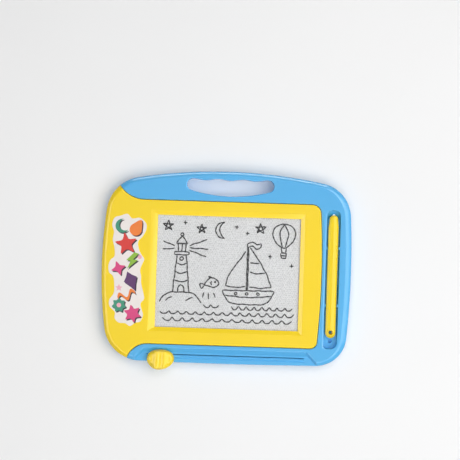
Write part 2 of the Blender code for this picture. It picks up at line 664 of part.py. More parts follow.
def make_front_housing():
    """The blue front shell: handle, pen groove and eraser channel round three sides of the front."""
    housing = add_piece("front_housing", plate(front_rings(right_run, reversed_list, SEAT_GAP, 1)), BLUE)
    low = FRONT_BASE - OVERRUN
    lower_room = slab(case_outline(WALL), low, LOWER_ROOM_TOP)
    combine(housing, add_piece("cut_housing_lower_room", lower_room), "DIFFERENCE")
    upper_room = slab(housing_plan(WALL, SEAT_GAP + WALL), low, SKIN_BASE)
    combine(housing, add_piece("cut_housing_upper_room", upper_room), "DIFFERENCE")

    buried = CASE_THICKNESS - WALL / 2
    ledge = join_right(SEAT_GAP + WALL / 2) + reversed_list(join_right(-LEDGE_WIDTH))
    ledge_shape = slab(ledge, LEDGE_TOP - LEDGE_THICKNESS, LEDGE_TOP)
    combine(housing, add_piece("join_housing_ledge", ledge_shape), "UNION")
    tub = slab(groove_plan(WALL), GROOVE_FLOOR - WALL, buried)
    combine(housing, add_piece("join_housing_groove_tub", tub), "UNION")
    tube = slab(handle_hole(WALL), FRONT_BASE, buried)
    combine(housing, add_piece("join_housing_handle_tube", tube), "UNION")
    floor_plan = channel_plan(WALL, CASE_BOTTOM + WALL - CHANNEL_FLOOR_ROOT)
    floor = slab(floor_plan, CHANNEL_HEIGHT - CHANNEL_FLOOR, buried)
    combine(housing, add_piece("join_housing_channel_floor", floor), "UNION")
    bosses = upright_cylinders(housing_screw_places(), BOSS_RADIUS, FRONT_BASE, buried)
    combine(housing, add_piece("join_housing_bosses", bosses), "UNION")

    high = CASE_THICKNESS + OVERRUN
    combine(housing, add_piece("cut_housing_channel", channel_tool(high)), "DIFFERENCE")
    slot_reach = CHANNEL_LENGTH / 2 - SLOT_END_LAND
    slot = blocks([(-slot_reach, slot_reach, SLOT_Y - SLOT_WIDTH / 2, SLOT_Y + SLOT_WIDTH / 2,
                    CHANNEL_HEIGHT - CHANNEL_FLOOR - OVERRUN, CHANNEL_HEIGHT + OVERRUN / 2)])
    combine(housing, add_piece("cut_housing_slot", slot), "DIFFERENCE")
    groove = slab(groove_plan(), GROOVE_FLOOR, high)
    combine(housing, add_piece("cut_housing_groove", groove), "DIFFERENCE")
    hole = slab(handle_hole(), low, high)
    combine(housing, add_piece("cut_housing_handle", hole), "DIFFERENCE")
    combine(housing, add_piece("cut_housing_pilots", pilot_holes(housing_screw_places())), "DIFFERENCE")
    tether = upright_cylinders(
        [Vector((PEN_X, GROOVE_BOTTOM + TETHER_HOLE_INSET))], TETHER_HOLE_RADIUS,
        GROOVE_FLOOR - WALL - OVERRUN, GROOVE_FLOOR + OVERRUN)
    combine(housing, add_piece("cut_housing_tether", tether), "DIFFERENCE")
    combine(housing, add_piece("join_housing_nubs", groove_nubs()), "UNION")


def channel_tool(high):
    """The eraser channel: a flat floor, a slope up its long side and an upright step under the rim."""
    bottom = CASE_BOTTOM - OVERRUN
    whole = channel_plan(0, bottom)
    return plate([
        lifted(channel_plan(0, bottom, CHANNEL_SLOPE), CHANNEL_HEIGHT),
        lifted(whole, CASE_THICKNESS - CHANNEL_STEP), lifted(whole, high),
    ])


def groove_nubs():
    """Four small nubs on the groove walls, which keep the pen from rolling out."""
    top = CASE_THICKNESS - JOIN_RIM_RADIUS
    places = []
    for side in (-1, 1):
        for end in (-1, 1):
            level = end * NUB_SPREAD - NUB_CENTRE_DROP
            places.append(Vector((PEN_X + side * GROOVE_HALF_WIDTH, level)))
    return upright_cylinders(places, NUB_RADIUS, top - NUB_HEIGHT, top)


def make_front_bezel():
    """The yellow front: a plate with the drawing window, a left side wall and a frame for the panel."""
    rings = front_rings(left_run, list, 0, -1)
    bezel = add_piece("front_bezel", plate(rings), YELLOW)
    room = slab(case_outline(WALL), FRONT_BASE - OVERRUN, BEZEL_BASE)
    combine(bezel, add_piece("cut_bezel_room", room), "DIFFERENCE")
    bosses = upright_cylinders(bezel_screw_places(), BOSS_RADIUS, FRONT_BASE, BEZEL_BASE + BEZEL_PLATE / 2)
    combine(bezel, add_piece("join_bezel_bosses", bosses), "UNION")
    combine(bezel, add_piece("join_bezel_panel_frame", panel_frame()), "UNION")
    combine(bezel, add_piece("cut_bezel_window", window_tool()), "DIFFERENCE")
    combine(bezel, add_piece("cut_bezel_pilots", pilot_holes(bezel_screw_places())), "DIFFERENCE")


def panel_rectangle(margin):
    """The panel's rectangle, made larger all round by a margin."""
    reach_x = PANEL_HALF_WIDTH + margin
    reach_y = PANEL_HALF_HEIGHT + margin
    return rectangle(-reach_x, reach_x, -reach_y, reach_y)


def ring_wall(outer, wall, low, high):
    """An upright wall round the inside of a plane outline, open in the middle."""
    shape = bmesh.new()
    middle = shape.faces.new([shape.verts.new(point) for point in lifted(outer, low)])
    middle.normal_update()
    made = bmesh.ops.inset_region(
        shape, faces=[middle], thickness=wall, use_boundary=True, use_even_offset=True)
    ring = made["faces"]
    bmesh.ops.delete(shape, geom=[middle], context="FACES")
    grown = bmesh.ops.extrude_face_region(shape, geom=ring, use_keep_orig=True)["geom"]
    corners = [item for item in grown if isinstance(item, bmesh.types.BMVert)]
    bmesh.ops.translate(shape, verts=corners, vec=Vector((0, 0, high - low)))
    return shape


def panel_frame():
    """The wall on the back of the bezel that the panel drops into."""
    outer = panel_rectangle(SEAT_GAP + PANEL_FRAME_WALL)
    return ring_wall(outer, PANEL_FRAME_WALL, PANEL_BASE, BEZEL_BASE + BEZEL_PLATE / 2)


def window_tool():
    """The drawing window: straight near the film, then sloping outwards, unlike on each side."""
    inner = rectangle(-WINDOW_HALF_WIDTH, WINDOW_HALF_WIDTH, -WINDOW_HALF_HEIGHT, WINDOW_HALF_HEIGHT)
    outer = rectangle(-WINDOW_HALF_WIDTH - BEVEL_LEFT, WINDOW_HALF_WIDTH + BEVEL_RIGHT,
                      -WINDOW_HALF_HEIGHT - BEVEL_BOTTOM, WINDOW_HALF_HEIGHT + BEVEL_TOP)
    return plate([
        lifted(inner, BEZEL_BASE - OVERRUN), lifted(inner, BEZEL_BASE + BEVEL_STEP),
        lifted(outer, CASE_THICKNESS), lifted(outer, CASE_THICKNESS + OVERRUN),
    ])


def make_panel():
    """The sealed magnetic panel: two films, the plate of fluid cells and the seal round it."""
    whole = panel_rectangle(0)
    add_piece("panel_front_film", slab(whole, PANEL_TOP - FILM_THICKNESS, PANEL_TOP), FILM)
    core = slab(panel_rectangle(-SEAL_WIDTH - FILM_GAP), CORE_BASE, CORE_TOP)
    add_piece("panel_cell_core", core, CELLS)
    seal = ring_wall(whole, SEAL_WIDTH, CORE_BASE, CORE_TOP)
    add_piece("panel_edge_seal", seal, SEAL)
    add_piece("panel_back_film", slab(whole, PANEL_BASE, PANEL_BASE + FILM_THICKNESS), FILM)


def make_eraser_carrier():
    """The carrier that slides behind the panel: a bar with a magnet pocket and a foot under the slot."""
    foot_low = SLOT_Y - CARRIER_FOOT_WIDTH / 2
    foot_high = SLOT_Y + CARRIER_FOOT_WIDTH / 2
    half = CARRIER_WIDTH / 2
    foot_half = CARRIER_FOOT_LENGTH / 2
    top = WINDOW_HALF_HEIGHT + SEAT_GAP
    outline = [Vector((ERASER_REST_X + x, y)) for x, y in (
        (-foot_half, foot_low), (foot_half, foot_low), (foot_half, foot_high), (half, foot_high),
        (half, top), (-half, top), (-half, foot_high), (-foot_half, foot_high))]
    carrier = add_piece("eraser_carrier", slab(outline, CARRIER_BASE, CARRIER_TOP), WHITE_PLASTIC)

    room = MAGNET_WIDTH / 2 + SEAT_GAP
    reach = WINDOW_HALF_HEIGHT - SEAT_GAP
    blade_half = BLADE_LENGTH / 2 + SEAT_GAP
    blade_room = BLADE_THICKNESS / 2 + SEAT_GAP
    pockets = blocks([
        (ERASER_REST_X - room, ERASER_REST_X + room, -reach, reach,
         CARRIER_TOP - MAGNET_POCKET_DEPTH, CARRIER_TOP + OVERRUN),
        (ERASER_REST_X - blade_half, ERASER_REST_X + blade_half, SLOT_Y - blade_room, SLOT_Y + blade_room,
         CARRIER_BASE - OVERRUN, CARRIER_TOP + OVERRUN),
    ])
    combine(carrier, add_piece("cut_carrier_pockets", pockets), "DIFFERENCE")


def make_eraser_magnet():
    """The long magnet strip that pulls the particles back as the carrier slides."""
    reach = WINDOW_HALF_HEIGHT - 2 * SEAT_GAP
    half = MAGNET_WIDTH / 2
    outline = rectangle(ERASER_REST_X - half, ERASER_REST_X + half, -reach, reach)
    add_piece("eraser_magnet", slab(outline, MAGNET_BASE, MAGNET_BASE + MAGNET_THICKNESS), DARK_MAGNET)


def knob_plan(inset=0):
    """The pebble outline of the knob: a flat upper half and a more pointed lower half."""
    points = []
    count = 4 * CORNER_STEPS
    for index in range(count):
        angle = math.tau * index / count
        across, along = math.cos(angle), math.sin(angle)
        power = KNOB_UPPER_POWER if along >= 0 else KNOB_LOWER_POWER
        reach = (KNOB_UPPER_REACH if along >= 0 else KNOB_LOWER_REACH) - inset
        x = (KNOB_WIDTH / 2 - inset) * math.copysign(abs(across) ** (2 / power), across)
        y = reach * math.copysign(abs(along) ** (2 / power), along)
        points.append(Vector((ERASER_REST_X + x, KNOB_Y + y)))
    return points


def make_slider_knob():
    """The eraser knob: a pebble with a tall finger rib, and a blade that drops through the slot."""
    lobe_top = KNOB_BASE + KNOB_LOBE_HEIGHT
    rings = [lifted(knob_plan(), KNOB_BASE)]
    rings += [lifted(knob_plan(inset), lobe_top - drop) for inset, drop in rim_steps(KNOB_ROUND)]
    knob = add_piece("slider_knob", plate(rings), YELLOW)

    rib_top = KNOB_BASE + KNOB_RIB_HEIGHT
    rib_rings = []
    levels = ((0, KNOB_BASE + KNOB_ROUND), (0, rib_top - KNOB_ROUND), (KNOB_ROUND / 2, rib_top))
    for inset, height in levels:
        half = KNOB_RIB_WIDTH / 2 - inset
        bottom = KNOB_Y - KNOB_LOWER_REACH + KNOB_RIB_INSET + 2 * inset
        top = KNOB_Y + KNOB_UPPER_REACH - KNOB_RIB_INSET - inset
        radius = KNOB_ROUND
        outline = rounded_rectangle(ERASER_REST_X - half, ERASER_REST_X + half, bottom, top, radius)
        rib_rings.append(lifted(outline, height))
    combine(knob, add_piece("join_knob_rib", plate(rib_rings)), "UNION")
    blade = blocks([(ERASER_REST_X - BLADE_LENGTH / 2, ERASER_REST_X + BLADE_LENGTH / 2,
                     SLOT_Y - BLADE_THICKNESS / 2, SLOT_Y + BLADE_THICKNESS / 2,
                     KNOB_BASE - BLADE_DEPTH, KNOB_BASE + KNOB_ROUND)])
    combine(knob, add_piece("join_knob_blade", blade), "UNION")
    combine(knob, add_piece("cut_knob_relief", knob_relief()), "DIFFERENCE")


def knob_relief():
    """Room under the upper side of the knob for the slope of the channel."""
    half = KNOB_WIDTH / 2 + OVERRUN
    slope = math.atan2(CHANNEL_DEPTH - CHANNEL_STEP, CHANNEL_SLOPE)
    lift = SEAT_GAP / math.cos(slope)
    far = CHANNEL_TOP + OVERRUN
    rings = []
    for height in (CHANNEL_HEIGHT, CASE_THICKNESS):
        near = CHANNEL_TOP - CHANNEL_SLOPE + (height - CHANNEL_HEIGHT - lift) / math.tan(slope)
        rings.append(lifted(rectangle(ERASER_REST_X - half, ERASER_REST_X + half, near, far), height))
    return plate(rings)


def pen_plan(inset=0):
    """The pen seen from above: a round lower end, straight sides and a tapered, rounded tip."""
    half = PEN_WIDTH / 2
    tip_half = PEN_TIP_WIDTH / 2
    low_end = Vector((PEN_X, PEN_BOTTOM + half))
    tip_end = Vector((PEN_X, PEN_BARREL_TOP - tip_half))
    lower = arc(low_end, half - inset, math.pi, 0, 2 * SMALL_ARC_STEPS)
    upper = arc(tip_end, tip_half - inset, 0, math.pi, 2 * SMALL_ARC_STEPS)
    shoulder = PEN_BARREL_TOP - tip_half - PEN_TAPER_LENGTH
    right = [Vector((PEN_X + half - inset, shoulder))]
    left = [Vector((PEN_X - half + inset, shoulder))]
    return lower + right + upper + left


def make_pen():
    """The drawing pen: a faceted barrel with a hole for a cord, and the small magnet in its tip."""
    top = PEN_BASE + PEN_THICKNESS
    rings = [
        lifted(pen_plan(PEN_FACET), PEN_BASE), lifted(pen_plan(), PEN_BASE + PEN_FACET),
        lifted(pen_plan(), top - PEN_FACET), lifted(pen_plan(PEN_FACET), top),
    ]
    barrel = add_piece("pen_barrel", plate(rings), YELLOW)
    hole = upright_cylinders([Vector((PEN_X, PEN_BOTTOM + PEN_HOLE_INSET))], PEN_HOLE_RADIUS,
                             PEN_BASE - OVERRUN, top + OVERRUN)
    combine(barrel, add_piece("cut_pen_hole", hole), "DIFFERENCE")
    depth = PEN_MAGNET_LENGTH - PEN_MAGNET_REACH + SEAT_GAP
    bore = rod_along_y(PEN_MAGNET_RADIUS + SEAT_GAP, PEN_BARREL_TOP - depth, PEN_BARREL_TOP + OVERRUN)
    combine(barrel, add_piece("cut_pen_bore", bore), "DIFFERENCE")
    magnet = rod_along_y(PEN_MAGNET_RADIUS, PEN_TIP - PEN_MAGNET_LENGTH, PEN_TIP)
    add_piece("pen_magnet", magnet, MAGNET_STEEL)


def rod_along_y(radius, start, end):
    """A rod on the pen's axis between two places along Y."""
    shape = bmesh.new()
    middle = Vector((PEN_X, PEN_AXIS_HEIGHT))
    circle = arc(middle, radius, 0, math.tau * (ROUND_SIDES - 1) / ROUND_SIDES, ROUND_SIDES - 1)
    cap = shape.faces.new([shape.verts.new((point.x, start, point.y)) for point in circle])
    base = list(cap.verts)
    cap = bmesh.ops.extrude_discrete_faces(shape, faces=[cap])["faces"][0]
    bmesh.ops.translate(shape, verts=list(cap.verts), vec=Vector((0, end - start, 0)))
    shape.faces.new(base)
    return shape


def smooth_closed(points, steps):
    """A smooth closed curve through plane points, as a Catmull-Rom spline."""
    curve = []
    count = len(points)
    for index in range(count):
        before, start, end, after = (points[(index + shift) % count] for shift in (-1, 0, 1, 2))
        for step in range(steps):
            t = step / steps
            first = (end - before) * t
            second = (before * 2 - start * 5 + end * 4 - after) * t ** 2
            third = (start * 3 - before - end * 3 + after) * t ** 3
            curve.append(start + (first + second + third) / 2)
    return curve


def make_label():
    """The die-cut paper label on the left flange."""
    corners = []
    for across, along in LABEL_OUTLINE_SHARES:
        corners.append(LABEL_MIDDLE + Vector((across * LABEL_HALF_WIDTH, along * LABEL_HALF_LENGTH)))
    base = CASE_THICKNESS + LABEL_GAP
    outline = smooth_closed(reversed_list(corners), LABEL_STEPS)
    add_piece("flange_label", slab(outline, base, base + LABEL_THICKNESS), LABEL_PAPER)


def make_screws():
    """Eight self-tapping screws, each a shaft under a flat round head."""
    for number, place in enumerate(bezel_screw_places() + housing_screw_places(), start=1):
        head = upright_cylinders([place], SCREW_HEAD_RADIUS, SCREW_HEAD_DEPTH, SCREW_SEAT)
        cap = max(head.faces, key=lambda face: face.calc_center_median().z)
        bmesh.ops.inset_region(head, faces=[cap], thickness=SCREW_HEAD_RADIUS - SCREW_RADIUS,
                               use_boundary=True, use_even_offset=True)
        tip = bmesh.ops.extrude_discrete_faces(head, faces=[cap])["faces"][0]
        bmesh.ops.translate(head, verts=list(tip.verts), vec=Vector((0, 0, SCREW_LENGTH)))
        add_piece(f"case_screw_{number}", head, STEEL)


def main():
    """Build the whole board."""
    clear_scene()
    make_back_cover()
    make_front_housing()
    make_front_bezel()
    make_panel()
    make_eraser_carrier()
    make_eraser_magnet()
    make_slider_knob()
    make_pen()
    make_label()
    make_screws()


main()
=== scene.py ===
"""Looks of the magnetic drawing board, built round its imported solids.

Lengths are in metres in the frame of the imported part: the origin is on the back face under the
centre of the drawing window, +X runs right, +Y towards the handle and +Z out of the drawing face.
"""

import logging
import math
from collections.abc import Callable, Iterable, Sequence
from dataclasses import dataclass
from enum import Enum
from functools import cache

import bmesh
import bpy
from mathutils import Matrix, Vector
from mathutils.geometry import intersect_point_line


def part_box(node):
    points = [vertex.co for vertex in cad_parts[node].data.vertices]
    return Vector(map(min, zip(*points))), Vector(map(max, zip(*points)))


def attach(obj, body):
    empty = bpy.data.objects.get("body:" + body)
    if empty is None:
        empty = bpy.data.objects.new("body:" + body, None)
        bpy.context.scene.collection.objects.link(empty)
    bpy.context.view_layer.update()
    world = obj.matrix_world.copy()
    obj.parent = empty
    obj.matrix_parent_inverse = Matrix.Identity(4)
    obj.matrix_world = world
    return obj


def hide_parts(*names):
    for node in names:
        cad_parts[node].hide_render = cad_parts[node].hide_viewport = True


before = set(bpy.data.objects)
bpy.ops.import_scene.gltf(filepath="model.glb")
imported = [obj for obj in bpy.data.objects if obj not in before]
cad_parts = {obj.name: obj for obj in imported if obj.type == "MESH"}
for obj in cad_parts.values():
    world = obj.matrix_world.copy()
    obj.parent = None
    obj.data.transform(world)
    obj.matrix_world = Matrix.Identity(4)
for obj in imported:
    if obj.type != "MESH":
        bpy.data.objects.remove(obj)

MM = 0.001
MERGE = 0.002 * MM
UP = Vector((0, 0, 1))
QUARTER = math.pi / 2
HOLE_SHARES = (1, 0.6, 0.3, 0)

Points = list[Vector]
Colour = tuple[float, float, float]

log = logging.getLogger("board")


# ---------------------------------------------------------------- shaders

def shade(*levels: int) -> Colour:
    """A display colour of 0 to 255 a channel as the linear colour that a shader takes."""
    parts = (level / 255 for level in levels)
    return tuple(part / 12.92 if part <= 0.04045 else ((part + 0.055) / 1.055) ** 2.4 for part in parts)


class Value:
    """A shader socket that takes part in Python arithmetic through Math nodes."""

    def __init__(self, graph: "Graph", socket: bpy.types.NodeSocket) -> None:
        """Wrap one output socket of a graph."""
        self.graph, self.socket = graph, socket

    def math(self, operation: str, first: "Operand", second: "Operand") -> "Value":
        """Put two operands through one Math node."""
        return self.graph.node("ShaderNodeMath", {"operation": operation}, {0: first, 1: second})

    def __add__(self, other: "Operand") -> "Value":
        """Sum of two values."""
        return self.math("ADD", self, other)

    def __mul__(self, other: "Operand") -> "Value":
        """Product of two values."""
        return self.math("MULTIPLY", self, other)

    def __pow__(self, other: "Operand") -> "Value":
        """This value to a power."""
        return self.math("POWER", self, other)

    __radd__ = __add__
    __rmul__ = __mul__


Operand = Value | float


class Graph:
    """The node tree of one new material."""

    def __init__(self, name: str) -> None:
        """Make the material with its plain shader.

        Args:
            name: The material's name.
        """
        self.material = bpy.data.materials.new(name)
        self.material.use_nodes = True
        self.tree = self.material.node_tree
        self.shader = self.tree.nodes["Principled BSDF"]

    def node(self, kind: str, settings: dict[str, object], inputs: dict[int | str, object],
             output: int | str = 0) -> Value:
        """Make any node.

        Args:
            kind: The node's type name.
            settings: Its own properties, which are set first.
            inputs: Values or links of its sockets, by index or name.
            output: The output socket that is handed back.

        Returns:
            The chosen output as a value.
        """
        made = self.tree.nodes.new(kind)
        for key, value in settings.items():
            setattr(made, key, value)
        for key, value in inputs.items():
            self.feed(made.inputs[key], value)
        return Value(self, made.outputs[output])

    def feed(self, socket: bpy.types.NodeSocket, value: object) -> None:
        """Link a value to a socket, or set the socket's own constant.

        Args:
            socket: The input socket.
            value: A value to link, or a constant.
        """
        if isinstance(value, Value):
            self.tree.links.new(value.socket, socket)
        else:
            socket.default_value = value

    def set(self, **inputs: object) -> None:
        """Feed sockets of the plain shader, named with underscores for spaces."""
        for key, value in inputs.items():
            self.feed(self.shader.inputs[key.replace("_", " ")], value)

    def place(self, scale: Sequence[float] = (1, 1, 1)) -> Value:
        """The point on the object, stretched along its axes."""
        point = self.node("ShaderNodeTexCoord", {}, {}, "Object")
        return self.node("ShaderNodeMapping", {}, {"Vector": point, "Scale": scale})

    def noise(self, scale: float, detail: float, stretch: Sequence[float] = (1, 1, 1)) -> Value:
        """Soft noise over the object, from about 0.25 to 0.75.

        Args:
            scale: Blotches a metre.
            detail: Octaves of finer noise.
            stretch: Change of scale along each axis.

        Returns:
            The noise value.
        """
        return self.node("ShaderNodeTexNoise", {}, {
            "Vector": self.place(stretch), "Scale": scale, "Detail": detail, "Roughness": 0.55})

    def between(self, value: Value, low: float, high: float, low_out: float = 0,
                high_out: float = 1) -> Value:
        """Map a value from the range low to high to another range with a smooth ease.

        Args:
            value: The value to map.
            low: Where the ease starts.
            high: Where it ends.
            low_out: The result at the start.
            high_out: The result at the end.

        Returns:
            The eased value.
        """
        return self.node("ShaderNodeMapRange", {"interpolation_type": "SMOOTHSTEP", "clamp": True}, {
            "Value": value, "From Min": low, "From Max": high, "To Min": low_out, "To Max": high_out})

    def blend(self, factor: Value, first: Colour | Value, second: Colour | Value) -> Value:
        """Mix two colours by a factor."""
        ends = [end if isinstance(end, Value) else (*end, 1) for end in (first, second)]
        return self.node("ShaderNodeMix", {"data_type": "RGBA"}, {0: factor, 6: ends[0], 7: ends[1]}, 2)

    def bump(self, height: Value, depth: float, strength: float) -> Value:
        """A shading normal for a height of 0 to 1 that stands for a real depth."""
        return self.node("ShaderNodeBump", {}, {"Height": height, "Distance": depth, "Strength": strength})


@dataclass(frozen=True)
class Finish:
    """One finish: its name, the slot of the part that it belongs to, its colour and roughness."""

    name: str
    slot: str
    colour: Colour
    roughness: float = 0.42

    @cache
    def material(self) -> bpy.types.Material:
        """The finish as a material, made once.

        Returns:
            The material.
        """
        graph = Graph(self.name)
        self.dress(graph)
        return graph.material

    def dress(self, graph: Graph) -> None:
        """Feed the shader of the new material."""
        raise NotImplementedError

    def tone(self, factor: float) -> Colour:
        """The colour made lighter or darker by a factor."""
        return tuple(min(channel * factor, 1) for channel in self.colour)

    def varied(self, graph: Graph, mask: Value, spread: float) -> Value:
        """The colour, as much darker or lighter as the spread, by a mask."""
        return graph.blend(mask, self.tone(1 - spread), self.tone(1 + spread))


@dataclass(frozen=True)
class MouldedPlastic(Finish):
    """Injection-moulded plastic: even colour with faint flow marks, fine grain and hairline scuffs."""

    roughness: float = 0.25
    flow: float = 0.035
    grain: float = 0.018 * MM

    def dress(self, graph: Graph) -> None:
        """Feed the shader.

        Args:
            graph: The nodes of the material.
        """
        speck = graph.between(graph.noise(2600, 1), 0.66, 0.74)
        scuff = graph.between(graph.noise(420, 4, (1, 0.06, 1)), 0.6, 0.72)
        pale = self.varied(graph, graph.noise(38, 3, (1, 0.5, 1)), self.flow)
        graph.set(
            Base_Color=graph.blend(speck * 0.12, pale, self.tone(0.6)),
            Roughness=self.roughness - 0.05 + graph.noise(90, 3) * 0.08 + scuff * 0.025, IOR=1.49,
            Normal=graph.bump(graph.noise(900, 2) + graph.noise(150, 1) * 2, self.grain, 0.35))


@dataclass(frozen=True)
class ClearFilm(Finish):
    """Thin clear film, slightly milky, with a polished surface."""

    roughness: float = 0.12
    milk: float = 0.02

    def dress(self, graph: Graph) -> None:
        """Feed the shader, and mix in gloss by the angle of view.

        Args:
            graph: The nodes of the material.
        """
        graph.set(Base_Color=graph.blend(graph.noise(60, 3), self.colour, shade(236, 237, 238)),
                  Alpha=self.milk, Roughness=self.roughness)
        gloss = graph.node("ShaderNodeBsdfAnisotropic", {}, {
            "Color": (1, 1, 1, 1), "Roughness": graph.between(graph.noise(500, 3), 0.3, 0.7, 0.04, 0.09)})
        slant = graph.node("ShaderNodeLayerWeight", {}, {"Blend": 0.5}, "Facing")
        mixed = graph.node("ShaderNodeMixShader", {}, {
            0: slant ** 5.0 * 0.45 + 0.02, 1: Value(graph, graph.shader.outputs[0]), 2: gloss})
        graph.feed(graph.tree.nodes["Material Output"].inputs["Surface"], mixed)


@dataclass(frozen=True)
class CellPlate(Finish):
    """Honeycomb of fluid cells: pale walls round slightly darker, cloudy fluid."""

    wall: Colour = shade(244, 244, 243)
    top: float = 10.65 * MM
    depth: float = 0.5 * MM

    def dress(self, graph: Graph) -> None:
        """Feed the shader from the height in each cell and the fluid's settling.

        Args:
            graph: The nodes of the material.
        """
        height = graph.node("ShaderNodeSeparateXYZ", {}, {0: graph.place()}, 2)
        rise = graph.between(height, self.top - self.depth, self.top - self.depth * 0.2)
        cloud = graph.noise(55, 3) * 0.3 + graph.between(graph.noise(800, 0), 0.36, 0.64) * 0.7
        grit = graph.between(graph.noise(2400, 2), 0.62, 0.75)
        fluid = graph.blend(grit * 0.25, graph.blend(cloud, self.tone(0.8), self.tone(1.02)), self.tone(0.6))
        graph.set(Base_Color=graph.blend(rise, fluid, self.wall),
                  Roughness=graph.between(rise, 0, 1, 0.35, 0.55),
                  Normal=graph.bump(graph.noise(1500, 2), 0.02 * MM, 0.4))


@dataclass(frozen=True)
class IronInk(Finish):
    """Fine iron particles drawn up to the film, denser in the middle of some cells than others."""

    def dress(self, graph: Graph) -> None:
        """Feed the shader.

        Args:
            graph: The nodes of the material.
        """
        clump = graph.between(graph.noise(620, 2), 0.3, 0.7)
        grit = graph.noise(4200, 1)
        graph.set(Base_Color=graph.blend(clump * 0.7 + grit * 0.2, self.colour, self.tone(2.6)),
                  Roughness=graph.between(grit, 0.3, 0.7, 0.6, 0.85),
                  Normal=graph.bump(grit, 0.05 * MM, 0.5))


@dataclass(frozen=True)
class PrintedPaper(Finish):
    """Coated paper or the ink printed on it: paper fibre, uneven ink and a soft sheen."""

    fade: float = 0.05

    def dress(self, graph: Graph) -> None:
        """Feed the shader.

        Args:
            graph: The nodes of the material.
        """
        fibre = graph.noise(1300, 3, (1, 0.35, 1))
        tone = self.varied(graph, graph.noise(130, 2), self.fade)
        graph.set(Base_Color=graph.blend(graph.between(fibre, 0.55, 0.75) * 0.02, tone, (1.0, 1.0, 1.0)),
                  Roughness=self.roughness + fibre * 0.12, Normal=graph.bump(fibre, 0.01 * MM, 0.5))


@dataclass(frozen=True)
class PlatedMetal(Finish):
    """Plated metal with turned or brushed marks and a few dull spots."""

    def dress(self, graph: Graph) -> None:
        """Feed the shader.

        Args:
            graph: The nodes of the material.
        """
        brush = graph.noise(1500, 2, (1, 0.08, 1))
        spots = graph.between(graph.noise(700, 3), 0.58, 0.7)
        graph.set(Base_Color=graph.blend(spots * 0.5, self.colour, self.tone(0.72)), Metallic=1.0,
                  Roughness=self.roughness + brush * 0.12 + spots * 0.15,
                  Normal=graph.bump(brush, 0.006 * MM, 0.6))


@dataclass(frozen=True)
class DullSolid(Finish):
    """Bonded magnet, seal or plain inner plastic: satin, mottled and slightly grainy."""

    mottle: float = 0.12

    def dress(self, graph: Graph) -> None:
        """Feed the shader.

        Args:
            graph: The nodes of the material.
        """
        grain = graph.noise(1700, 3)
        graph.set(Base_Color=self.varied(graph, graph.noise(160, 3), self.mottle),
                  Roughness=self.roughness - 0.05 + grain * 0.1, Normal=graph.bump(grain, 0.03 * MM, 0.5))


BLUE = MouldedPlastic("sky_blue_plastic", "blue_shell", shade(86, 180, 236))
YELLOW = MouldedPlastic("yellow_plastic", "yellow_shell", shade(252, 217, 18))
FILM = ClearFilm("clear_panel_film", "clear_film", shade(222, 224, 226))
CELLS = CellPlate("honeycomb_cells", "panel_cells", shade(227, 228, 229))
IRON = IronInk("iron_particles", "panel_cells", shade(22, 22, 24))
SEAL = DullSolid("panel_edge_sealant", "panel_seal", shade(218, 218, 215), 0.6)
INNER = DullSolid("white_inner_plastic", "inner_plastic", shade(230, 230, 227), 0.5, 0.04)
MAGNET = DullSolid("bonded_magnet_strip", "eraser_magnet", shade(46, 46, 49), 0.55, 0.3)
STEEL = PlatedMetal("zinc_plated_steel", "screw_steel", shade(198, 199, 202), 0.3)
TIP = PlatedMetal("plated_tip_magnet", "pen_magnet", shade(226, 226, 228), 0.22)
PAPER = PrintedPaper("label_paper_stock", "label_paper", shade(234, 226, 222))


class Ink(Enum):
    """Printing colours of the label."""

    TEAL = shade(47, 143, 114)
    ORANGE = shade(238, 122, 22)
    RED = shade(216, 39, 28)
    LIME = shade(140, 184, 42)
    MAGENTA = shade(216, 53, 122)
    PURPLE = shade(90, 42, 102)
    PINK = shade(236, 170, 186)
    BLACK = shade(40, 30, 44)

    @property
    def finish(self) -> Finish:
        """The ink as a finish."""
        return PrintedPaper(f"print_{self.name.lower()}", "label_paper", self.value)


# ---------------------------------------------------------------- plane geometry

@dataclass(frozen=True)
class Circle:
    """A circle in plan."""

    x: float
    y: float
    radius: float

    @property
    def centre(self) -> Vector:
        """The centre as a point."""
        return Vector((self.x, self.y))

    def grown(self, change: float) -> "Circle":
        """The same circle with a changed radius."""
        return Circle(self.x, self.y, self.radius + change)

    def angle_to(self, point: Vector) -> float:
        """Angle from +X of the way from the centre to a point."""
        way = point.to_2d() - self.centre
        return math.atan2(way.y, way.x)

    def depth_of(self, point: Vector) -> float:
        """How far a point lies inside the circle."""
        return self.radius - (point.to_2d() - self.centre).length

    def point(self, angle: float) -> Vector:
        """The point of the circle at an angle."""
        return self.centre + self.radius * Vector((math.cos(angle), math.sin(angle)))

    def arc(self, start: float, end: float, steps: int, clockwise: bool = False) -> Points:
        """Points of an arc from one angle to another, both ends included."""
        turn = (-((start - end) % math.tau) if clockwise else (end - start) % math.tau) / steps
        return [self.point(start + turn * index) for index in range(steps + 1)]

    def around(self, steps: int) -> Points:
        """Points of the whole circle."""
        return [self.point(math.tau * index / steps) for index in range(steps)]

    def meeting(self, other: "Circle", towards: Sequence[float]) -> Vector:
        """The one of the two points where circles meet that lies further towards a direction.

        Args:
            other: The second circle.
            towards: The direction that picks the point.

        Returns:
            The meeting point.
        """
        line = other.centre - self.centre
        along = (self.radius ** 2 - other.radius ** 2 + line.length_squared) / (2 * line.length)
        across = math.sqrt(max(self.radius ** 2 - along ** 2, 0))
        unit = line.normalized()
        foot = self.centre + unit * along
        side = Vector((-unit.y, unit.x)) * across
        return max(foot + side, foot - side, key=lambda point: point.dot(Vector(towards)))


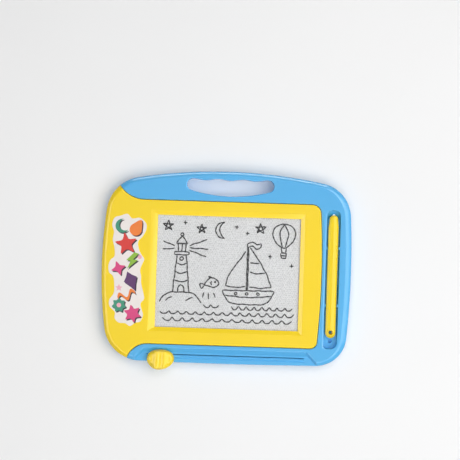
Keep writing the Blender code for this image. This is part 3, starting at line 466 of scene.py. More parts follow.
@dataclass(frozen=True)
class RoundEdge:
    """The turn from a wall to a face: a quarter round at power 1, and flatter up to a bevel at 2."""

    width: float
    height: float
    power: float = 1

    def at(self, share: float) -> tuple[float, float]:
        """Inset and drop at a share of the way from the wall to the face.

        Args:
            share: Share of the way.

        Returns:
            The inset and the drop.
        """
        angle = min(share, 1) * QUARTER
        across, up = max(math.cos(angle), 0) ** self.power, math.sin(angle) ** self.power
        return self.width * (1 - across), self.height * (1 - up)

    def drop(self, inset: float) -> float:
        """How far the edge lies under the face at an inset from the wall."""
        share = min(max(1 - inset / self.width, 0), 1)
        return self.height * (1 - (1 - share ** (2 / self.power)) ** (self.power / 2))

    def rings(self, along: Iterable[float], outline: Callable[[float], Points], face: float,
              way: int = -1) -> list[Points]:
        """Rings along the edge.

        Args:
            along: Shares of the way from the wall to the face.
            outline: Gives the plan at an inset.
            face: Height of the face.
            way: -1 where the edge drops from the face, 1 where it rises.

        Returns:
            One ring for each share.
        """
        return [lifted(outline(inset), face + way * drop) for inset, drop in map(self.at, along)]


def shares(count: int) -> list[float]:
    """Even shares from 0 to 1 in count steps."""
    return [step / count for step in range(count + 1)]


def lifted(points: Iterable[Vector], level: float) -> Points:
    """Plane points placed at one height."""
    return [Vector((point.x, point.y, level)) for point in points]


def resampled(path: Points, count: int) -> Points:
    """An open path with count evenly spaced points, both ends kept.

    Args:
        path: The path.
        count: How many points it gets.

    Returns:
        The points.
    """
    lengths = [0.0]
    for first, second in zip(path, path[1:]):
        lengths.append(lengths[-1] + (second - first).length)
    points, index = [], 0
    for share in shares(count - 1):
        target = lengths[-1] * share
        while index < len(path) - 2 and lengths[index + 1] < target:
            index += 1
        span = max(lengths[index + 1] - lengths[index], 1e-12)
        points.append(path[index].lerp(path[index + 1], (target - lengths[index]) / span))
    return points


def place_on(loop: Points, point: Vector) -> float:
    """Where a closed path passes nearest a point, as an index with a fraction.

    Args:
        loop: The closed path.
        point: The point near it.

    Returns:
        The index of the nearest place, with a fraction.
    """
    best = (math.inf, 0.0)
    for index, start in enumerate(loop):
        end = loop[(index + 1) % len(loop)]
        share = intersect_point_line(point.to_3d(), start.to_3d(), end.to_3d())[1]
        share = min(max(share, 0), 1)
        best = min(best, ((point - start.lerp(end, share)).length, index + share))
    return best[1]


def run_between(loop: Points, start: Vector, end: Vector, count: int) -> Points:
    """The part of a closed path from one of its points to another, resampled to count points.

    Args:
        loop: The closed path.
        start: Where the part starts.
        end: Where it ends.
        count: How many points it gets.

    Returns:
        The points.
    """
    first, last = place_on(loop, start), place_on(loop, end)
    if last < first:
        last += len(loop)
    inner = [loop[index % len(loop)] for index in range(math.floor(first) + 1, math.ceil(last))]
    return resampled([start, *inner, end], count)


def smooth_through(points: Points, steps: int, closed: bool) -> Points:
    """A smooth Catmull-Rom curve through plane points.

    Args:
        points: What the curve runs through.
        steps: Steps from one to the next.
        closed: Whether it runs back to its start.

    Returns:
        The points.
    """
    count, curve = len(points), []
    for index in range(count if closed else count - 1):
        near = [index + shift for shift in (-1, 0, 1, 2)]
        before, start, end, after = (
            points[spot % count if closed else min(max(spot, 0), count - 1)] for spot in near)
        for step in range(steps):
            t = step / steps
            first = (end - before) * t
            second = (before * 2 - start * 5 + end * 4 - after) * t ** 2
            third = (start * 3 - before - end * 3 + after) * t ** 3
            curve.append(start + (first + second + third) / 2)
    return curve if closed else [*curve, points[-1]]


def smoothstep(value: float, low: float, high: float) -> float:
    """Ease from 0 at low to 1 at high."""
    share = min(max((value - low) / (high - low), 0), 1)
    return share * share * (3 - 2 * share)


# ---------------------------------------------------------------- meshes and pieces

def placed(name: str, data: bpy.types.ID) -> bpy.types.Object:
    """A new object that shows some data.

    Args:
        name: The object's name.
        data: The mesh, lamp or camera.

    Returns:
        The object, linked to the scene.
    """
    made = bpy.data.objects.new(name, data)
    bpy.context.collection.objects.link(made)
    return made


def fresh_corners(geom: Iterable[object]) -> Points:
    """The corners among the results of an operator."""
    return [item for item in geom if isinstance(item, bmesh.types.BMVert)]


def fresh_edges(geom: Iterable[object]) -> list[bmesh.types.BMEdge]:
    """The edges among the results of an extrusion that join its new corners.

    Args:
        geom: Results of the extrusion.

    Returns:
        The edges.
    """
    corners = set(fresh_corners(geom))
    return [item for item in geom
            if isinstance(item, bmesh.types.BMEdge) and corners.issuperset(item.verts)]


class Skin:
    """A mesh under construction, grown ring by ring with bmesh operators."""

    def __init__(self) -> None:
        """Start empty."""
        self.mesh = bmesh.new()

    def loft(self, rings: Sequence[Points], closed: bool = True) -> None:
        """Grow a surface through rings of equal length, each extruded from the one before.

        Args:
            rings: Points of each ring, in order.
            closed: Whether each ring runs back to its start.
        """
        corners = [self.mesh.verts.new(point) for point in rings[0]]
        ends = corners[1:] + corners[:1] if closed else corners[1:]
        edges = [self.mesh.edges.new(pair) for pair in zip(corners, ends)]
        for ring in rings[1:]:
            grown = bmesh.ops.extrude_edge_only(self.mesh, edges=edges)["geom"]
            fresh = set(fresh_corners(grown))
            corners = [next(other for other in (edge.other_vert(corner) for edge in corner.link_edges)
                            if other in fresh) for corner in corners]
            for corner, point in zip(corners, ring):
                corner.co = point
            edges = fresh_edges(grown)

    def merge(self) -> None:
        """Join corners that lie in one place."""
        bmesh.ops.remove_doubles(self.mesh, verts=self.mesh.verts, dist=MERGE)

    def cap(self, level: float, keep: Callable[[Vector], bool] = lambda point: True) -> None:
        """Fill the flat region inside the open edges at one height.

        Args:
            level: The height of the region.
            keep: Says of an edge's middle whether the edge bounds the region.
        """
        self.merge()
        self.fill([
            edge for edge in self.mesh.edges
            if all(abs(corner.co.z - level) < 2 * MERGE for corner in edge.verts)
            and len(edge.link_faces) < 2 and keep((edge.verts[0].co + edge.verts[1].co) / 2)])

    def fill(self, edges: list[bmesh.types.BMEdge]) -> list[bmesh.types.BMFace]:
        """Fill a region that lies inside some edges, at a thousand times its size for steadiness.

        Args:
            edges: The edges round the region.

        Returns:
            The new faces.
        """
        bmesh.ops.scale(self.mesh, verts=self.mesh.verts, vec=Vector((1, 1, 1)) / MM)
        made = bmesh.ops.triangle_fill(self.mesh, use_beauty=True, edges=edges, normal=UP)["geom"]
        bmesh.ops.scale(self.mesh, verts=self.mesh.verts, vec=Vector((1, 1, 1)) * MM)
        return [item for item in made if isinstance(item, bmesh.types.BMFace)]

    def close(self) -> None:
        """Merge doubles and point every face outwards."""
        self.merge()
        bmesh.ops.recalc_face_normals(self.mesh, faces=self.mesh.faces)

    def face_up(self, level: float, up: int = 1) -> None:
        """Point every face of an open shell outwards, judged by its flat face at one height.

        Args:
            level: The height of that face.
            up: 1 where it points up, -1 where down.
        """
        self.close()
        flats = [face for face in self.mesh.faces
                 if all(abs(corner.co.z - level) < 2 * MERGE for corner in face.verts)]
        if sum(face.normal.z * face.calc_area() for face in flats) * up < 0:
            bmesh.ops.reverse_faces(self.mesh, faces=self.mesh.faces)

    def bevel(self, edges: Iterable[bmesh.types.BMEdge], rounding: float, segments: int) -> None:
        """Round some edges."""
        bmesh.ops.bevel(self.mesh, geom=list(edges), offset=rounding, affect="EDGES", segments=segments,
                        profile=0.5, material=-1)

    def add_block(self, low: Vector, high: Vector, rounding: float) -> None:
        """Add a block with rounded edges between two corners.

        Args:
            low: The lowest corner.
            high: The highest corner.
            rounding: Width of the rounding.
        """
        turn = Matrix.Translation((low + high) / 2) @ Matrix.Diagonal((*(high - low), 1))
        made = bmesh.ops.create_cube(self.mesh, size=1, matrix=turn)
        self.bevel({edge for corner in made["verts"] for edge in corner.link_edges}, rounding, 2)

    def add_rod(self, radius: float, length: float, matrix: Matrix, rounding: float, sides: int,
                segments: int) -> None:
        """Add a rod with rounded ends, upright before its matrix turns it.

        Args:
            radius: Its radius.
            length: Its length.
            matrix: Turns and places it.
            rounding: Width of the rounding.
            sides: Sides of the rod.
            segments: Steps of the rounding.
        """
        made = bmesh.ops.create_cone(self.mesh, cap_ends=True, segments=sides, radius1=radius,
                                     radius2=radius, depth=length, matrix=matrix)
        rims = {edge for corner in made["verts"] for edge in corner.link_edges
                if any(len(face.verts) > 4 for face in edge.link_faces)}
        self.bevel(rims, rounding, segments)

    def as_mesh(self, name: str, material: bpy.types.Material) -> bpy.types.Mesh:
        """Turn the skin, which is used up, into a mesh of one material.

        Args:
            name: The mesh's name.
            material: Its material.

        Returns:
            The mesh.
        """
        mesh = bpy.data.meshes.new(name)
        self.mesh.to_mesh(mesh)
        self.mesh.free()
        mesh.materials.append(material)
        return mesh


@dataclass
class Piece:
    """One finished object of the board: what it is made of, what it stands for and what it rides on."""

    name: str
    finish: Finish
    replaces: str = ""
    wall: float = 0
    body: str = "board"
    soft_edge: float = 0
    crease: float = math.radians(30)

    def modify(self, made: bpy.types.Object, name: str, kind: str, **settings: object) -> None:
        """Add a modifier with its settings.

        Args:
            made: The object.
            name: The modifier's name.
            kind: Its type.
            settings: Its own settings.
        """
        modifier = made.modifiers.new(name, kind)
        for key, value in settings.items():
            setattr(modifier, key, value)

    def make(self, skin: Skin) -> None:
        """Turn a skin, which is used up, into the object, riding on its body.

        Args:
            skin: The finished mesh.
        """
        mesh = skin.as_mesh(self.name, self.finish.material())
        mesh.shade_smooth()
        mesh.set_sharp_from_angle(angle=self.crease)
        made = placed(self.name, mesh)
        if self.wall:
            self.modify(made, "wall", "SOLIDIFY", thickness=self.wall, offset=-1, use_even_offset=False,
                        use_rim=True)
        if self.soft_edge:
            self.modify(made, "soft_edge", "BEVEL", width=self.soft_edge, segments=2,
                        limit_method="ANGLE", angle_limit=self.crease, use_clamp_overlap=True)
        self.modify(made, "even_shading", "WEIGHTED_NORMAL", keep_sharp=True)
        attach(made, self.body)
        self.finish.slot
        if self.replaces:
            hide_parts(self.replaces)
        log.info("%s: %d faces on %s", self.name, len(mesh.polygons), self.body)


# ---------------------------------------------------------------- case

class Side(Enum):
    """The bowed sides of the case."""

    RIGHT = 0
    TOP = 1
    LEFT = 2
    BOTTOM = 3


class Corner(Enum):
    """The corners of the case: the sides before and after each, the way it points, its radius."""

    TOP_RIGHT = (Side.RIGHT, Side.TOP, (1, 1), 25 * MM)
    TOP_LEFT = (Side.TOP, Side.LEFT, (-1, 1), 27 * MM)
    BOTTOM_LEFT = (Side.LEFT, Side.BOTTOM, (-1, -1), 26.5 * MM)
    BOTTOM_RIGHT = (Side.BOTTOM, Side.RIGHT, (1, -1), 22 * MM)


@dataclass(frozen=True)
class CasePlan:
    """The case in plan: its outline, the join between its two front shells and its rim."""

    left: float = -90.7 * MM
    right: float = 88.2 * MM
    top: float = 72.5 * MM
    bottom: float = -65.4 * MM
    left_bow: float = 320 * MM
    right_bow: float = 620 * MM
    top_bow: float = 360 * MM
    bottom_bow: float = 3000 * MM
    join_right: float = 67 * MM
    join_top: float = 50.7 * MM
    join_bottom: float = -52.2 * MM
    join_bow: float = 620 * MM
    join_upper_corner: float = 6.5 * MM
    join_lower_corner: float = 5 * MM
    upper_flare_radius: float = 21.5 * MM
    lower_flare_radius: float = 15.5 * MM
    upper_tip_angle: float = math.radians(131)
    lower_tip_angle: float = math.radians(249)
    face: float = 14 * MM
    wall_foot: float = 5.8 * MM
    rim: RoundEdge = RoundEdge(3.45 * MM, 3 * MM, 1.5)
    rim_spread: float = 0.3
    deep_margin: float = 2.5 * MM
    side_steps: int = 24
    flare_steps: int = 36
    small_steps: int = 10

    @cache
    def side(self, side: Side) -> Circle:
        """The circle that a side follows.

        Args:
            side: The side.

        Returns:
            The circle.
        """
        middle_x, middle_y = (self.left + self.right) / 2, (self.top + self.bottom) / 2
        return {
            Side.RIGHT: Circle(self.right - self.right_bow, middle_y, self.right_bow),
            Side.TOP: Circle(middle_x, self.top - self.top_bow, self.top_bow),
            Side.LEFT: Circle(self.left + self.left_bow, middle_y, self.left_bow),
            Side.BOTTOM: Circle(middle_x, self.bottom + self.bottom_bow, self.bottom_bow),
        }[side]

    @cache
    def corner(self, corner: Corner) -> Circle:
        """The circle that a corner follows, touching both sides beside it.

        Args:
            corner: The corner.

        Returns:
            The circle.
        """
        before, after, towards, radius = corner.value
        first, second = (self.side(side).grown(-radius) for side in (before, after))
        return Circle(*first.meeting(second, towards), radius)

    @cache
    def corner_span(self, corner: Corner) -> tuple[float, float]:
        """The angles at which a corner arc starts and ends."""
        centre = self.corner(corner).centre
        return tuple(self.side(side).angle_to(centre) for side in corner.value[:2])

    def outline(self, inset: float = 0) -> Points:
        """The whole outline, anticlockwise, moved in by inset and a little more along its right.

        Args:
            inset: How far it is moved in.

        Returns:
            The points.
        """
        corners, points = list(Corner), []
        for before, after in zip(corners[-1:] + corners, corners):
            side = self.side(after.value[0])
            start, end = (side.angle_to(self.corner(corner).centre) for corner in (before, after))
            points += side.grown(-inset).arc(start, end, self.side_steps)[1:-1]
            points += self.corner(after).grown(-inset).arc(*self.corner_span(after), self.side_steps)
        turns = [(point - points[place - 1]).normalized().y for place, point in enumerate(points)]
        for point, turn in zip(points, turns):
            point.x -= inset * self.rim_spread * smoothstep(turn, 0.2, 0.9)
        return points

    def edge_distance(self, point: Vector) -> float:
        """How far a point lies inside the outline.

        Args:
            point: The point.

        Returns:
            The distance, below zero outside.
        """
        for corner in Corner:
            circle = self.corner(corner)
            start, end = self.corner_span(corner)
            if (circle.angle_to(point) - start) % math.tau < (end - start) % math.tau:
                return circle.depth_of(point)
        return min(self.side(side).depth_of(point) for side in Side)

    def rim_level(self, point: Vector) -> float:
        """Height of the front face at a point, lowered where the rim rolls off to the outline."""
        return self.face - self.rim.drop(self.edge_distance(point))

    def near_edge(self, point: Vector) -> bool:
        """Whether a wall at a point reaches down to the parting, beside the outline."""
        return self.edge_distance(point) < self.deep_margin

    @cache
    def flare(self, upper: bool) -> Circle:
        """The circle that sweeps the join out to the outline at one of its two tips.

        Args:
            upper: Whether it is the upper tip.

        Returns:
            The circle.
        """
        if upper:
            tip = self.corner(Corner.TOP_LEFT).point(self.upper_tip_angle)
            radius, middle = self.upper_flare_radius, self.join_top + self.upper_flare_radius
        else:
            tip = self.corner(Corner.BOTTOM_LEFT).point(self.lower_tip_angle)
            radius, middle = self.lower_flare_radius, self.join_bottom - self.lower_flare_radius
        return Circle(tip.x + math.sqrt(radius ** 2 - (tip.y - middle) ** 2), middle, radius)

    def tip(self, upper: bool, inset: float, grow: float) -> Vector:
        """Where the join, moved out by grow, meets the outline moved in by inset."""
        corner = self.corner(Corner.TOP_LEFT if upper else Corner.BOTTOM_LEFT)
        return corner.grown(-inset).meeting(self.flare(upper).grown(-grow), (-1, 0))

    def join(self, inset: float, grow: float) -> Points:
        """The join from its lower tip, round its right side, to its upper tip.

        Args:
            inset: How far the outline is moved in where the join meets it.
            grow: How far the join is moved out from the yellow side.

        Returns:
            The points of the join.
        """
        low_flare, high_flare = self.flare(False), self.flare(True)
        low, high = (flare.angle_to(self.tip(upper, inset, grow))
                     for flare, upper in ((low_flare, False), (high_flare, True)))
        bow = Circle(self.join_right - self.join_bow, 0, self.join_bow)
        rounds = []
        for radius, middle in ((self.join_lower_corner, self.join_bottom + self.join_lower_corner),
                               (self.join_upper_corner, self.join_top - self.join_upper_corner)):
            reach = math.sqrt((self.join_bow - radius) ** 2 - middle ** 2)
            rounds.append(Circle(bow.centre.x + reach, middle, radius))
        lower, upper = rounds
        start, end = bow.angle_to(lower.centre), bow.angle_to(upper.centre)
        return (low_flare.grown(-grow).arc(low, QUARTER, self.flare_steps, True)
                + lower.grown(grow).arc(-QUARTER, start, self.small_steps)
                + bow.grown(grow).arc(start, end, self.side_steps)[1:-1]
                + upper.grown(grow).arc(end, QUARTER, self.small_steps)
                + high_flare.grown(-grow).arc(-QUARTER, high, self.flare_steps, True))


@dataclass(frozen=True)
class HandleHole:
    """The hand hole: a bowed lower edge, round ends and a wavy upper edge for the fingers."""

    top: float = 67.1 * MM
    length: float = 62.6 * MM
    depth: float = 12.4 * MM
    end_radius: float = 4.3 * MM
    wave: float = 0.5 * MM
    waves: int = 3
    steps: int = 20

    def plan(self, grow: float = 0) -> Points:
        """The outline of the hole, moved out by grow.

        Args:
            grow: How far it is moved out.

        Returns:
            The points.
        """
        end_x, end_y = self.length / 2 - self.end_radius, self.top - self.end_radius
        depth = self.depth - self.end_radius
        bow = (end_x ** 2 + depth ** 2 - self.end_radius ** 2) / (2 * (depth - self.end_radius))
        lower = Circle(0, self.top - self.depth + bow, bow)
        left, right = (Circle(x, end_y, self.end_radius + grow) for x in (-end_x, end_x))
        start, end = lower.angle_to(left.centre), lower.angle_to(right.centre)
        points = lower.grown(grow).arc(start, end, 2 * self.steps)[1:-1]
        points += right.arc(end, QUARTER, self.steps)
        for share in shares(self.waves * self.steps)[1:-1]:
            height = self.wave * (math.cos(math.tau * self.waves * share) - 1)
            points.append(Vector((end_x * (1 - 2 * share), self.top + grow + height)))
        return points + left.arc(QUARTER, start, self.steps)

    def tube(self, lip: RoundEdge, steps: int, face: float, foot: float) -> list[Points]:
        """Rings of the hole's wall from the lip at a face to its foot on the other side."""
        way = -1 if face > foot else 1
        return [*lip.rings(shares(steps)[::-1], self.plan, face, way), lifted(self.plan(), foot)]


@dataclass(frozen=True)
class PenGroove:
    """The pocket that the pen lies in: a round upper end and a squarer lower end."""

    x: float = 74.6 * MM
    half_width: float = 4.85 * MM
    bottom: float = -52 * MM
    top: float = 47.3 * MM
    left_corner: float = 2.5 * MM
    right_corner: float = 4.7 * MM
    floor: float = 7.6 * MM
    foot: RoundEdge = RoundEdge(0.6 * MM, 0.6 * MM)
    lip: RoundEdge = RoundEdge(0.45 * MM, 0.5 * MM, 1.5)
    left_spread: float = 1.7
    right_hold: float = 0.35
    ramp: float = 4 * MM
    tether_radius: float = 1.4 * MM
    tether_y: float = -46.7 * MM
    tether_depth: float = 2.8 * MM
    tether_edge: RoundEdge = RoundEdge(0.3 * MM, 0.3 * MM)
    nub_radius: float = 1.1 * MM
    nub_top: float = 13.8 * MM
    nub_height: float = 2.1 * MM
    nub_levels: tuple[float, float] = (-21 * MM, 20 * MM)
    nub_round: float = 0.35 * MM
    steps: int = 10

    def plan(self, grow: float = 0, lean: float = 0) -> Points:
        """The outline of the pocket.

        Args:
            grow: How far it is moved out: more on the left, less on the right beside the rim.
            lean: How far the upper end is drawn back.

        Returns:
            The points of the outline.
        """
        reach = self.half_width + grow
        upper = Circle(self.x, self.top - self.half_width - lean, reach)
        left, right = (
            Circle(self.x + side * (self.half_width - radius), self.bottom + radius, radius + grow)
            for side, radius in ((-1, self.left_corner), (1, self.right_corner)))
        points = (upper.arc(0, math.pi, 3 * self.steps) + left.arc(math.pi, -QUARTER, self.steps)
                  + right.arc(-QUARTER, 0, self.steps))
        for point in points:
            pull = self.left_spread if point.x < self.x else self.right_hold
            point.x -= max(grow, 0) * pull * abs(point.x - self.x) / reach
        return points

    def build(self, skin: Skin, face: float) -> None:
        """Sink the pocket into a face, with its lip, its rounded foot and the tether hole.

        Args:
            skin: The mesh that gets the pocket.
            face: Height of the face.
        """
        skin.loft(self.lip.rings(shares(self.steps // 2)[::-1], self.plan, face)
                  + self.foot.rings(shares(3), lambda inset: self.plan(-inset, self.ramp), self.floor, 1))
        hole = Circle(self.x, self.tether_y, self.tether_radius)
        deep = self.floor - self.tether_depth
        edge = self.tether_edge.rings(HOLE_SHARES, lambda inset: hole.grown(inset).around(24), self.floor)
        skin.loft([*edge, lifted(hole.around(24), deep)])
        skin.cap(deep)
        skin.cap(self.floor)

    def nubs(self) -> Skin:
        """Four small nubs on the walls of the pocket, which keep the pen from rolling out.

        Returns:
            The nubs as one mesh.
        """
        skin = Skin()
        for side in (-1, 1):
            for y in self.nub_levels:
                place = (self.x + side * self.half_width, y, self.nub_top - self.nub_height / 2)
                skin.add_rod(self.nub_radius, self.nub_height, Matrix.Translation(place), self.nub_round,
                             24, 3)
        skin.close()
        return skin


@dataclass(frozen=True)
class EraserChannel:
    """The open channel along the lower edge: a step, a slope, a floor with the slot, slanting ends."""

    top: float = -55.4 * MM
    half: float = 58 * MM
    floor: float = 11 * MM
    step: float = 0.7 * MM
    slope: float = 2.9 * MM
    end_slope: float = 1.3 * MM
    corner_round: float = 2.6 * MM
    lip: RoundEdge = RoundEdge(0.9 * MM, 0.6 * MM, 1.6)
    slot_y: float = -59.65 * MM
    slot_half_length: float = 56.5 * MM
    slot_half_width: float = 0.25 * MM
    slot_edge: RoundEdge = RoundEdge(0.2 * MM, 0.2 * MM)
    slot_depth: float = 1.6 * MM
    bead_y: float = -60.95 * MM
    bead_half_width: float = 0.55 * MM
    bead: RoundEdge = RoundEdge(0.495 * MM, 0.5 * MM)
    line_y: float = -62.05 * MM
    line_half_width: float = 0.4 * MM
    line_depth: float = 0.35 * MM
    edge_round: float = 0.8 * MM
    end_points: int = 28
    top_points: int = 40

    def profile(self, index: int, count: int, face: float) -> tuple[float, float, float, float]:
        """How far the edge of the channel is moved, and its height, for one ring.

        Args:
            index: The ring, 0 for the floor line and count for the face.
            count: The last ring.
            face: Height of the front face.

        Returns:
            How far the top edge moves down, the ends move in and all of it moves out, and its height.
        """
        if index == 0:
            return self.slope, self.end_slope, 0.0, self.floor
        if index == 1:
            return 0.0, 0.0, 0.0, face - self.step
        inset, drop = self.lip.at((index - 2) / (count - 2))
        return 0.0, 0.0, inset, face - drop

    def corner(self, side: int, rise: float, out: float) -> Vector:
        """Where the top edge, moved up by rise, would meet a slanting end moved out by out."""
        return Vector((side * (self.half - rise + out * math.sqrt(2)), self.top + rise))

    def crossing(self, plan: CasePlan, side: int, inset: float, out: float) -> Vector:
        """Where a slanting end, moved out by out, crosses the outline moved in by inset.

        Args:
            plan: The case in plan.
            side: -1 for the left end, 1 for the right.
            inset: How far the outline is moved in.
            out: How far the end is moved out.

        Returns:
            The crossing.
        """
        corner, way = self.corner(side, 0, out), Vector((side, -1))
        low, high = 0.0, 16 * MM
        for _ in range(40):
            middle = (low + high) / 2
            if plan.edge_distance(corner + way * middle) > inset:
                low = middle
            else:
                high = middle
        return corner + way * low

    def foot_ends(self, plan: CasePlan, inset: float) -> list[Vector]:
        """Where the ends of the channel floor cross the outline moved in by inset."""
        return [self.crossing(plan, side, inset, -self.end_slope) for side in (-1, 1)]

    def detour(self, plan: CasePlan, inset: float, drop: float, end: float, lip: float) -> Points:
        """The edge of the channel from its left crossing over its top to its right crossing.

        Args:
            plan: The case in plan.
            inset: How far the outline is moved in.
            drop: How far the top edge is moved down.
            end: How far the ends are moved in.
            lip: How far all of it is moved out.

        Returns:
            The points of the edge.
        """
        radius, bends = self.corner_round + lip, []
        for side, start in ((-1, 135), (1, 90)):
            corner = self.corner(side, lip - drop, lip - end)
            centre = corner - Vector((side * radius * math.tan(math.radians(22.5)), radius))
            bends.append(Circle(*centre, radius).arc(math.radians(start), math.radians(start - 45), 8, True))
        left, right = bends
        first = resampled([self.crossing(plan, -1, inset, lip - end), left[0]], self.end_points)
        top = resampled([left[-1], right[0]], self.top_points)
        last = resampled([right[-1], self.crossing(plan, 1, inset, lip - end)], self.end_points)
        return first[:-1] + left + top[1:-1] + right + last[1:]

    def long_loop(self, y: float, radius: float) -> Points:
        """A long loop with round ends, as the slot has, at one place across the channel.

        Args:
            y: The place across the channel.
            radius: Half its width.

        Returns:
            The points.
        """
        reach = self.slot_half_length - self.slot_half_width
        right, left = (Circle(side * reach, y, radius) for side in (1, -1))
        return right.arc(-QUARTER, QUARTER, 12) + left.arc(QUARTER, -QUARTER, 12)

    def build_slot(self, skin: Skin) -> None:
        """Sink the slot and a fine line into the channel floor, with a bead between them.

        Args:
            skin: The mesh that gets them.
        """
        floor, half = self.floor, self.slot_half_width
        edge = self.slot_edge.rings(
            HOLE_SHARES, lambda inset: self.long_loop(self.slot_y, half + inset), floor)
        skin.loft([*edge, lifted(self.long_loop(self.slot_y, half), floor - self.slot_depth)])
        crest = floor + self.bead.height
        skin.loft(self.bead.rings(
            shares(5), lambda inset: self.long_loop(self.bead_y, self.bead_half_width - inset), crest))
        skin.cap(crest)
        rings = [lifted(self.long_loop(self.line_y, self.line_half_width * share),
                        floor - self.line_depth * math.sqrt(1 - share)) for share in (1, 0.5, 0.2)]
        skin.loft(rings)
        skin.cap(rings[-1][0].z)


@dataclass
class FrontHousing:
    """The blue front shell: handle, pen groove and eraser channel round three sides of the board."""

    plan: CasePlan = CasePlan()
    hole: HandleHole = HandleHole()
    groove: PenGroove = PenGroove()
    channel: EraserChannel = EraserChannel()
    gap: float = 0.4 * MM
    join_lip: RoundEdge = RoundEdge(0.9 * MM, 0.4 * MM, 1.4)
    hole_lip: RoundEdge = RoundEdge(0.75 * MM, 0.5 * MM, 1.6)
    inner_foot: float = 9.6 * MM
    chamfer: float = 0.2 * MM
    wall: float = 1.2 * MM
    rim_rings: int = 8
    left_points: int = 40
    right_points: int = 260
    bottom_points: int = 90

    def ring(self, inset: float, grow: float, middle: Points, level: float,
             join_level: Callable[[Vector], float]) -> Points:
        """One ring round the shell.

        Args:
            inset: How far the outline is moved in.
            grow: How far the join is moved out.
            middle: The finished part of the ring along the channel.
            level: Height over the rest of the outline.
            join_level: Gives the height at a point of the join.

        Returns:
            The points of the ring.
        """
        plan, loop = self.plan, self.plan.outline(inset)
        start, end = middle[0].to_2d(), middle[-1].to_2d()
        left = run_between(loop, plan.tip(False, inset, grow), start, self.left_points)
        right = run_between(loop, end, plan.tip(True, inset, grow), self.right_points)
        join = [Vector((*point, join_level(point))) for point in plan.join(inset, grow)[::-1][1:-1]]
        return lifted(left[:-1], level) + middle + lifted(right[1:], level) + join

    def upper_ring(self, index: int) -> Points:
        """One ring of the upper part, from the channel floor (0) to the front face (rim_rings).

        Args:
            index: The number of the ring.

        Returns:
            The points of the ring.
        """
        plan, share = self.plan, index / self.rim_rings
        inset, rim_drop = plan.rim.at(share)
        lip_inset, lip_drop = self.join_lip.at(share)
        drop, end, channel_lip, level = self.channel.profile(index, self.rim_rings, plan.face)
        detour = self.channel.detour(plan, inset, drop, end, channel_lip)
        middle = [Vector((*point, min(level, plan.rim_level(point)) if index else level)) for point in detour]
        return self.ring(inset, self.gap + lip_inset, middle, plan.face - rim_drop,
                         lambda point: min(plan.face - lip_drop, plan.rim_level(point)))

    def wall_rings(self) -> list[Points]:
        """Rings of the outer wall and the join wall, from their top down to the parting.

        Returns:
            The rings.
        """
        plan, floor = self.plan, self.channel.floor
        tops = [Vector((*point, floor - taper * self.channel.edge_round))
                for point, taper in self.edge_points(0)]
        rings = [self.ring(0, self.gap, tops, floor,
                           lambda point: min(plan.face - self.join_lip.height, plan.rim_level(point)))]
        for inset, foot in ((0.0, self.chamfer), (self.chamfer, 0.0)):
            edge = [point for point, _ in self.edge_points(inset)]
            rings.append(self.ring(
                inset, self.gap, lifted(edge, plan.wall_foot + foot), plan.wall_foot + foot,
                lambda point: (plan.wall_foot if plan.near_edge(point) else self.inner_foot) + foot))
        return rings

    def edge_points(self, inset: float) -> list[tuple[Vector, float]]:
        """The outline under the channel, and how much of its edge is rounded at each point.

        Args:
            inset: How far the outline is moved in.

        Returns:
            Each point with the share of its rounding.
        """
        ends = self.channel.foot_ends(self.plan, inset)
        middle = run_between(self.plan.outline(inset), *ends, self.bottom_points)
        places = shares(self.bottom_points - 1)
        return [(point, smoothstep(min(share, 1 - share), 0, 0.05)) for point, share in zip(middle, places)]

    def channel_edge(self) -> list[Points]:
        """Rings of the rounded outer edge of the channel floor, from the wall to the floor.

        Returns:
            The rings.
        """
        rings = []
        for share in shares(5):
            ring = []
            for point, taper in self.edge_points(0):
                reach = taper * self.channel.edge_round
                inset, drop = RoundEdge(reach, reach).at(share)
                ring.append(Vector((point.x, point.y + inset, self.channel.floor - drop)))
            rings.append(ring)
        return rings

    def build(self) -> None:
        """Build the shell and the nubs in its groove."""
        skin, face = Skin(), self.plan.face
        skin.loft([self.upper_ring(index) for index in range(self.rim_rings + 1)])
        skin.loft(self.wall_rings())
        skin.loft(self.channel_edge(), closed=False)
        self.channel.build_slot(skin)
        skin.loft(self.hole.tube(self.hole_lip, self.rim_rings, face, self.plan.wall_foot))
        self.groove.build(skin, face)
        skin.cap(face)
        edge = self.channel.top - self.channel.slope
        skin.cap(self.channel.floor, lambda point: point.y < edge + MERGE)
        skin.face_up(face)
        Piece("front_housing_shell", BLUE, "front_housing", self.wall).make(skin)
        Piece("pen_groove_nubs", BLUE).make(self.groove.nubs())


